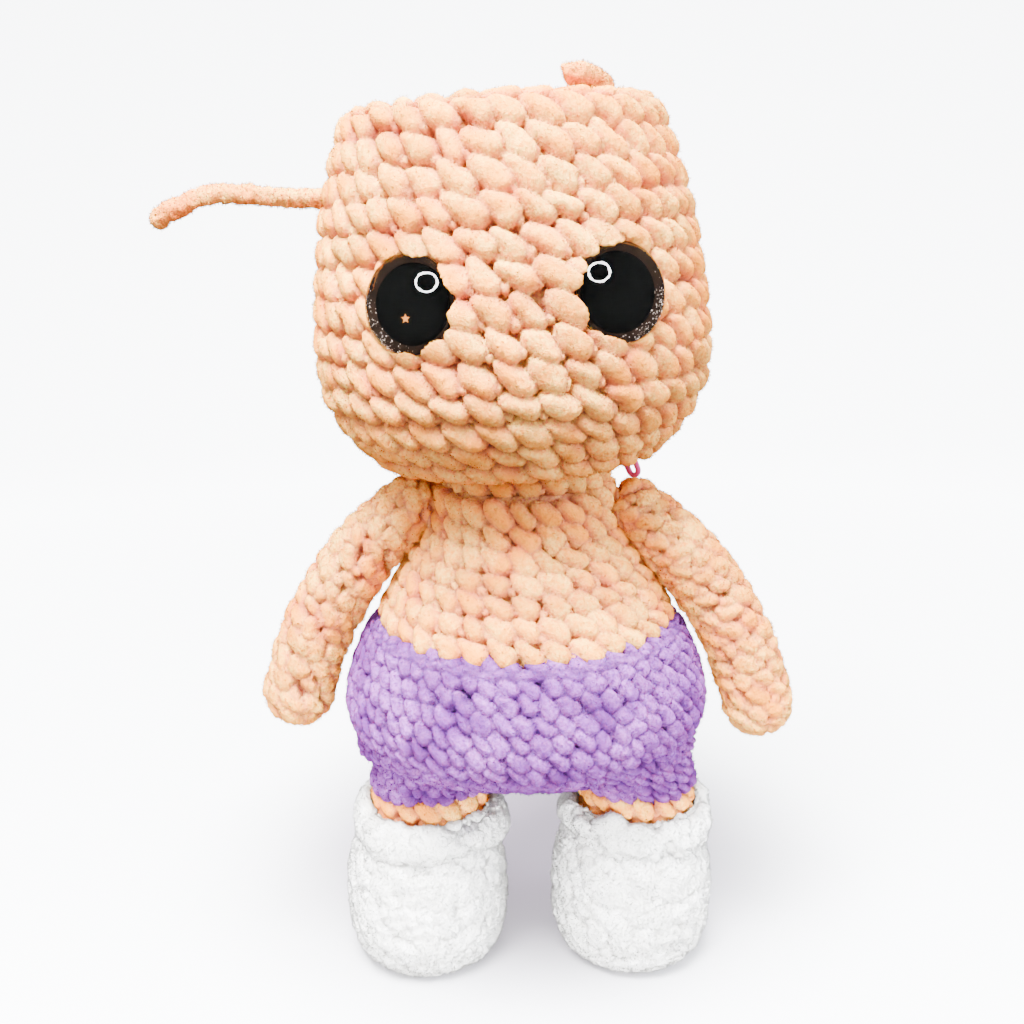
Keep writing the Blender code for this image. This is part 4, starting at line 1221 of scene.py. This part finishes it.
for label, sign in SIDES.items():
    make_shoe(label, sign)

# %% The cuffs
CUFF_OUTLINE = (                        # from the leg, under the cuff, out, and back over its top
    (19.0, 46.5), (20.5, 41.6), (22.8, 41.2), (24.2, 46.0), (23.4, 51.6), (21.0, 56.2), (18.4, 55.4),
)
CUFF_THICKNESS = 2.6 * MM
CUFF_FOLD_SIZE = 15 * MM                # the cuff's edge hangs in soft waves
CUFF_FOLD_HEIGHT = 5 * MM
CUFF_HALF_BAND = 1 * MM
CUFF_STITCH = Stitch(9 * MM, 10.5 * MM, 0, (
    Leg(17 * MM, 16 * MM, math.radians(-14), 0, 0, 0, 0.05),
    Leg(11 * MM, 10 * MM, math.radians(-20), 3.5 * MM, -6.5 * MM, -0.1, 0),
), 2.5)


def make_cuff(label, sign):
    chance = np.random.default_rng(61 + sign)
    line = [(radius * MM, height * MM) for radius, height in CUFF_OUTLINE]
    skin = turned_skin(line, leg_place(sign), softening=2)
    middle = skin.along[-1] / 2
    stitches = work(skin, middle - CUFF_HALF_BAND, middle + CUFF_HALF_BAND, CUFF_STITCH, chance)
    cloth = make_cloth(
        label + "_cuff", [(skin, stitches, FLAT)], chance, CUFF_THICKNESS, SHOE_PILE, closed=True)
    rough_up(cloth, CUFF_FOLD_SIZE, CUFF_FOLD_HEIGHT, "folds")
    applied(cloth)
    fuzz(cloth, chance, density=SHOE_PILE.fibres)
    dress(cloth, WHITE_YARN, "white_yarn", "body", label + "_shoe_cuff", fill=0.7)


for label, sign in SIDES.items():
    make_cuff(label, sign)

# %% [markdown]
# ## The arms
#
# Each arm is a tube about eight stitches round, closed at the hand and sewn to the shoulder by a
# few turns of yarn. It curves away from the body and hangs down. Its rounds run across it, so
# the arm's skin is bent along its own middle line.

# %% The arms
SHOULDER_PLACE = Vector((35.82, -3.0, 148.5)) * MM
SHOULDER_RADIUS = 9.4 * MM
ARM_RADIUS = 10.6 * MM
HAND_RADIUS = 10.8 * MM
ARMS = {"left": (72 * MM, math.radians(47)), "right": (66 * MM, math.radians(49))}
HAND_ANGLE = math.radians(13)
SHOULDER_FILL = 0.45                    # below 1 the arm's sewn end is blunter than a ball
SHOULDER_REACH = 2.5 * MM               # how much further in than a ball it reaches
SWELL_SHARE = 0.35                      # by here along it the arm has its full thickness
DROP_SHARE = 0.6                        # and here a lowered shoulder doesn't show any more
SHOULDER_DROP = {"left": 3.4 * MM, "right": 0}      # the left arm is sewn on a little lower
ARM_PARTS = 40
END_PARTS = 8
END_START = 0.1                         # the first ring of an end, as a share of a part
ARM_END_GAP = 1.5 * MM
ARM_THICKNESS = 2.8 * MM
ARM_STITCH = Stitch(6.0 * MM, 7.6 * MM, LOOSE_SLIP, (
    Leg(9.4 * MM, 6.4 * MM, math.radians(-34), 0, 0, 0, -0.14),
    Leg(6.4 * MM, 5.0 * MM, math.radians(-25), 3.6 * MM, 2.4 * MM, -0.36, -0.05),
), 1.8)


def arm_skin(label, sign):
    """The skin of an arm, from its shoulder's tip to its hand's."""
    length, start = ARMS[label]
    turn = start - HAND_ANGLE
    bend = length / turn
    centres, radii = [], []
    for i in range(ARM_PARTS + 1):
        share = i / ARM_PARTS
        angle = start - turn * share
        out = bend * (math.cos(angle) - math.cos(start))
        down = bend * (math.sin(start) - math.sin(angle))
        centres.append(Vector((out, 0, -down)))
        swell = math.sin(math.pi / 2 * min(share / SWELL_SHARE, 1))
        rest = max(share - SWELL_SHARE, 0) / (1 - SWELL_SHARE)
        radii.append(
            SHOULDER_RADIUS + (ARM_RADIUS - SHOULDER_RADIUS) * swell + (HAND_RADIUS - ARM_RADIUS) * rest)
    first = Vector((math.sin(start), 0, -math.cos(start)))
    last = Vector((math.sin(HAND_ANGLE), 0, -math.cos(HAND_ANGLE)))
    angles = [math.pi / 2 * (i + END_START) / END_PARTS for i in range(END_PARTS)]
    sewn_end = [
        (centres[0] - first * (radii[0] + SHOULDER_REACH) * math.cos(a),
         radii[0] * math.sin(a) ** SHOULDER_FILL)
        for a in angles]
    hand_end = [
        (centres[-1] + last * radii[-1] * math.cos(a), radii[-1] * math.sin(a)) for a in reversed(angles)]
    line = sewn_end + list(zip(centres, radii)) + hand_end
    shoulder = Vector((sign * SHOULDER_PLACE.x, SHOULDER_PLACE.y, SHOULDER_PLACE.z))
    drop = SHOULDER_DROP[label] * np.clip(1 - np.linspace(0, 1, len(line)) / DROP_SHARE, 0, 1)
    places = [shoulder + Vector((sign * centre.x, centre.y, centre.z - lower))
              for (centre, _), lower in zip(line, drop)]
    return tube_skin(places, [radius for _, radius in line], (0, 1, 0))


def make_arm(label, sign):
    chance = np.random.default_rng(71 + sign)
    skin = arm_skin(label, sign)
    stitches = work(skin, ARM_END_GAP, skin.along[-1] - ARM_END_GAP, ARM_STITCH, chance)
    cloth = make_cloth(label + "_arm_cloth", [(skin, stitches, FLAT)], chance, ARM_THICKNESS, ARM_PILE)
    fuzz(cloth, chance, density=ARM_PILE.fibres)
    dress(cloth, PEACH_YARN, "peach_yarn", label + "_arm", label + "_arm_cover", label + "_arm_stuffing",
          fill=0.8)


for label, sign in SIDES.items():
    make_arm(label, sign)

# %% [markdown]
# ## Sewing yarn and the stitch marker
#
# The head and the arms are sewn on with a few turns of the same yarn. Those turns sit deep in the
# joints, where only a sliver shows. Behind the neck hangs a pink plastic loop, the kind that
# marks the first stitch of a round.

# %% Sewing yarn
SEAM_GRID = 0.45 * MM
SEAM_TONE = 0.5
# painted shade: the sewing yarn deep in the joints gets nearly the crevices' dark colour
SEAM_SHADE_DEPTH = 0.3
SEAM_PILE = Pile(0.6 * MM, 0.4 * MM, 0, 0)
NECK_OUTLINE = ((26.4, 157.0), (26.0, 160.0), (25.4, 164.0))


def copy_of(name, node):
    """A new object with the plain shape of a node."""
    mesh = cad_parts[node].data.copy()
    mesh.materials.clear()
    return link(name, mesh)


def make_seam(node):
    yarn = copy_of(node + "_yarn", node)
    clay = yarn.modifiers.new("clay", "REMESH")
    clay.mode = "VOXEL"
    clay.voxel_size = SEAM_GRID
    applied(yarn)
    keep_values(yarn.data, tone=SEAM_TONE, depth=SEAM_SHADE_DEPTH, crease=0)
    make_plush(yarn, SEAM_PILE)
    dress(yarn, PEACH_YARN, "peach_yarn", node, node)


def make_neck():
    """The last round of the torso, drawn up against the head by the sewing yarn."""
    chance = np.random.default_rng(81)
    line = [(radius * MM, height * MM) for radius, height in NECK_OUTLINE]
    skin = turned_skin(line, UPRIGHT, BODY_DEPTH_SHARE)
    stitches = work(skin, 0, skin.along[-1], BODY_STITCH, chance)
    cloth = make_cloth("neck_yarn", [(skin, stitches, FLAT)], chance, BODY_THICKNESS)
    fuzz(cloth, chance)
    dress(cloth, PEACH_YARN, "peach_yarn", "neck_seam", "neck_seam")


for name in ("left_arm_seam", "right_arm_seam"):
    make_seam(name)
make_neck()

# %% The stitch marker
WELD_REACH = 0.01 * MM                  # the plain shape's faces are apart, and are joined first
MARKER_SLIP = 4 * MM                    # the loop hangs this much lower in its stitch
MARKER_SWING = math.radians(20)         # and swings forward and outward on it
MARKER_GRAIN = (2 * MM, 0.03 * MM)
PINK_PLASTIC = plain_finish("pink_plastic", (0.50, 0.03, 0.20), 0.5, MARKER_GRAIN).owner


def make_marker():
    marker = copy_of("marker_loop", "stitch_marker")
    marker.modifiers.new("weld", "WELD").merge_threshold = WELD_REACH
    marker.modifiers.new("rounder", "SUBSURF").levels = 2
    applied(marker)
    hold = point_array(marker.data)
    hold = Vector((*hold[:, :2].mean(0), hold[:, 2].max() - MARKER_SLIP))
    swing = Matrix.Rotation(-MARKER_SWING, 4, "X") @ Matrix.Rotation(-MARKER_SWING, 4, "Y")
    marker.data.transform(
        Matrix.Translation(hold) @ swing @ Matrix.Translation(-hold - Vector((0, 0, MARKER_SLIP))))
    marker.data.shade_smooth()
    dress(marker, PINK_PLASTIC, "marker_plastic", "head", "stitch_marker")


make_marker()
print("sewn and marked")

# %% [markdown]
# ## The studio
#
# The photograph has a nearly white sweep of paper behind the doll. A plain flat floor would show
# a horizon behind the doll, so the floor curves up into the wall. The paper has a painted glow away
# from the doll, standing in for lamps of its own, and a painted shadow behind the shoes. Its glow
# doesn't reach the doll: a low lamp in front stands for what the paper would throw back.

# %% The paper sweep
FLOOR_REACH = 3.0
SWEEP_START = 0.9
SWEEP_HEIGHT = 2.2
WALL_SHARE = 1.5                        # the wall goes on up to this many times the sweep's height
SWEEP_PARTS = 24
PAPER = (0.93, 0.95, 0.98)
# painted light: the paper away from the doll glows, in place of lamps of its own
PAPER_GLOW = 5.0                        # the paper away from the doll is lit by lamps of its own
PAPER_GLOW_COLOUR = (0.95, 0.97, 1.0, 1)
GLOW_START = 0.12                       # as far from the doll as this the paper doesn't glow yet
GLOW_FULL = 0.75
# painted shadow: behind the shoes the paper is painted darker
SHADE_PLACE = (0, 0.07, 0)              # behind the shoes hardly any light reaches the paper
SHADE_CORE = 0.03
SHADE_REACH = 0.14
SHADED_PAPER = (0.30, 0.26, 0.32, 1)


def paper_finish():
    """White paper with a painted glow that grows away from the doll, and a painted shadow behind the shoes.
    """
    finish = plain_finish("paper", PAPER, 0.9, Emission_Color=PAPER_GLOW_COLOUR)
    away, behind = finish.add("VectorMath"), finish.add("VectorMath")
    away.operation, behind.operation = "LENGTH", "DISTANCE"
    behind.inputs[1].default_value = SHADE_PLACE
    for distance in (away, behind):
        finish.join(finish.place.outputs["Object"], distance.inputs[0])
    glow = finish.spread(
        away.outputs["Value"], From_Min=GLOW_START, From_Max=GLOW_FULL, To_Max=PAPER_GLOW)
    lit = finish.spread(behind.outputs["Value"], True, From_Min=SHADE_CORE, From_Max=SHADE_REACH)
    finish.shade(Emission_Strength=glow, Base_Color=finish.mix(lit, SHADED_PAPER, (*PAPER, 1)))
    return finish.owner


def make_sweep():
    """A floor that curves up into a wall behind the doll."""
    line = [(-FLOOR_REACH, 0.0), (SWEEP_START, 0.0)]
    bend = SWEEP_HEIGHT / 2
    for i in range(1, SWEEP_PARTS + 1):
        angle = math.pi / 2 * i / SWEEP_PARTS
        line.append((SWEEP_START + bend * math.sin(angle), bend * (1 - math.cos(angle))))
    line.append((line[-1][0], SWEEP_HEIGHT * WALL_SHARE))
    points = [(side * FLOOR_REACH, deep, high) for deep, high in line for side in (-1, 1)]
    faces = [(2 * i, 2 * i + 1, 2 * i + 3, 2 * i + 2) for i in range(len(line) - 1)]
    sweep = link("sweep", mesh_from("sweep", points, faces))
    sweep.data.shade_smooth()
    sweep.data.materials.append(paper_finish())
    sweep.visible_glossy = False
    sweep.visible_shadow = False
    sweep.visible_diffuse = False


make_sweep()
print("the paper is", 2 * FLOOR_REACH, "m wide")

# %% [markdown]
# ## The light
#
# The room is bright above and dim below the table's height, so crevices and undersides stay dark.
# A wide soft lamp stands in front and above. Glossy eyes would mirror a white room and turn grey,
# so the room is dark to mirror-like rays, and only a ring lamp shows up in the eyes.

# %% The light
ROOM_HEIGHTS = (0.0, 0.45, 0.55, 0.72, 1.0)
ROOM_SHARES = (0.16, 0.32, 0.66, 0.95, 1.0)
ROOM_STRENGTH = 4.1
MIRROR_STRENGTH = 0.02
LAMP_SIZE = 0.42
LAMP_POWER = 86.0
LAMP_PLACE = Vector((-0.12, -0.36, 0.86))
LAMP_AIM = Vector((0, 0, 0.17))
FILL_POWER = 14.0                       # a weaker, cooler lamp from the doll's left
FILL_PLACE = Vector((0.85, -0.30, 0.35))
FILL_COLOUR = (0.82, 0.90, 1.0)
BOUNCE_POWER = 1.1                      # the paper in front of the doll throws light up at its shoes
BOUNCE_PLACE = Vector((0, -0.36, 0.03))
BOUNCE_AIM = Vector((0, 0, 0.02))
BOUNCE_SPREAD = math.radians(45)
BOUNCE_HEIGHT = 0.04
RING_FROM = Vector((-0.03, -0.70, 0.72))
RING_DISTANCE = 0.8
RING_RADIUS = 0.275
RING_WIDTH = 0.055
RING_GLOW = 150.0
RING_PARTS = 64


def make_world():
    room = Nodes(bpy.data.worlds.new("studio"))
    apart = room.add("SeparateXYZ")
    room.join(room.place.outputs["Generated"], apart.inputs[0])
    height = room.spread(apart.outputs["Z"], From_Min=-1, From_Max=1)
    seen = room.tree.nodes["Background"]
    set_inputs(seen, Strength=ROOM_STRENGTH)
    greys = [(share, share, share) for share in ROOM_SHARES]
    room.join(room.ramp(height, ROOM_HEIGHTS, greys), seen.inputs["Color"])
    mirrored = room.add("Background", Strength=MIRROR_STRENGTH)
    choice = room.add("MixShader")
    for k, source in enumerate((room.add("LightPath").outputs["Is Glossy Ray"], seen.outputs[0],
                                mirrored.outputs[0])):
        room.join(source, choice.inputs[k])
    room.join(choice.outputs[0], room.tree.nodes["World Output"].inputs["Surface"])
    bpy.context.scene.world = room.owner


def make_lamp(name, power, place, aim=LAMP_AIM, colour=(1, 1, 1), spread=math.pi, height=LAMP_SIZE):
    light = bpy.data.lights.new(name, "AREA")
    light.energy = power
    light.shape = "RECTANGLE"
    light.size = LAMP_SIZE
    light.size_y = height
    light.color = colour
    light.spread = spread
    lamp = link(name, light)
    lamp.location = place
    lamp.rotation_euler = (place - aim).to_track_quat("Z", "Y").to_euler()
    lamp.visible_glossy = False
    lamp.visible_camera = False


def make_ring_lamp():
    """A flat glowing ring that only mirror-like rays see."""
    place = Matrix.Translation(eye_frame(-1).translation + RING_FROM.normalized() * RING_DISTANCE)
    points, faces = [], []
    for k in range(RING_PARTS):
        angle = 2 * math.pi * k / RING_PARTS
        for radius in (RING_RADIUS - RING_WIDTH, RING_RADIUS):
            points.append((radius * math.cos(angle), radius * math.sin(angle), 0))
        j = (k + 1) % RING_PARTS
        faces.append((2 * k, 2 * j, 2 * j + 1, 2 * k + 1))
    ring = link("ring_lamp", mesh_from("ring_lamp", points, faces))
    ring.matrix_world = place @ RING_FROM.to_track_quat("Z", "Y").to_matrix().to_4x4()
    ring.data.materials.append(plain_finish(
        "lamp_glow", (0, 0, 0), 1.0, Emission_Color=(1, 1, 1, 1), Emission_Strength=RING_GLOW).owner)
    ring.visible_camera = False
    ring.visible_diffuse = False
    ring.visible_shadow = False
    ring.visible_transmission = False


make_world()
make_lamp("soft_lamp", LAMP_POWER, LAMP_PLACE)
make_lamp("fill_lamp", FILL_POWER, FILL_PLACE, colour=FILL_COLOUR)
make_lamp("paper_bounce", BOUNCE_POWER, BOUNCE_PLACE, BOUNCE_AIM, spread=BOUNCE_SPREAD, height=BOUNCE_HEIGHT)
make_ring_lamp()
print("the room, the soft lamp and the ring lamp are lit")
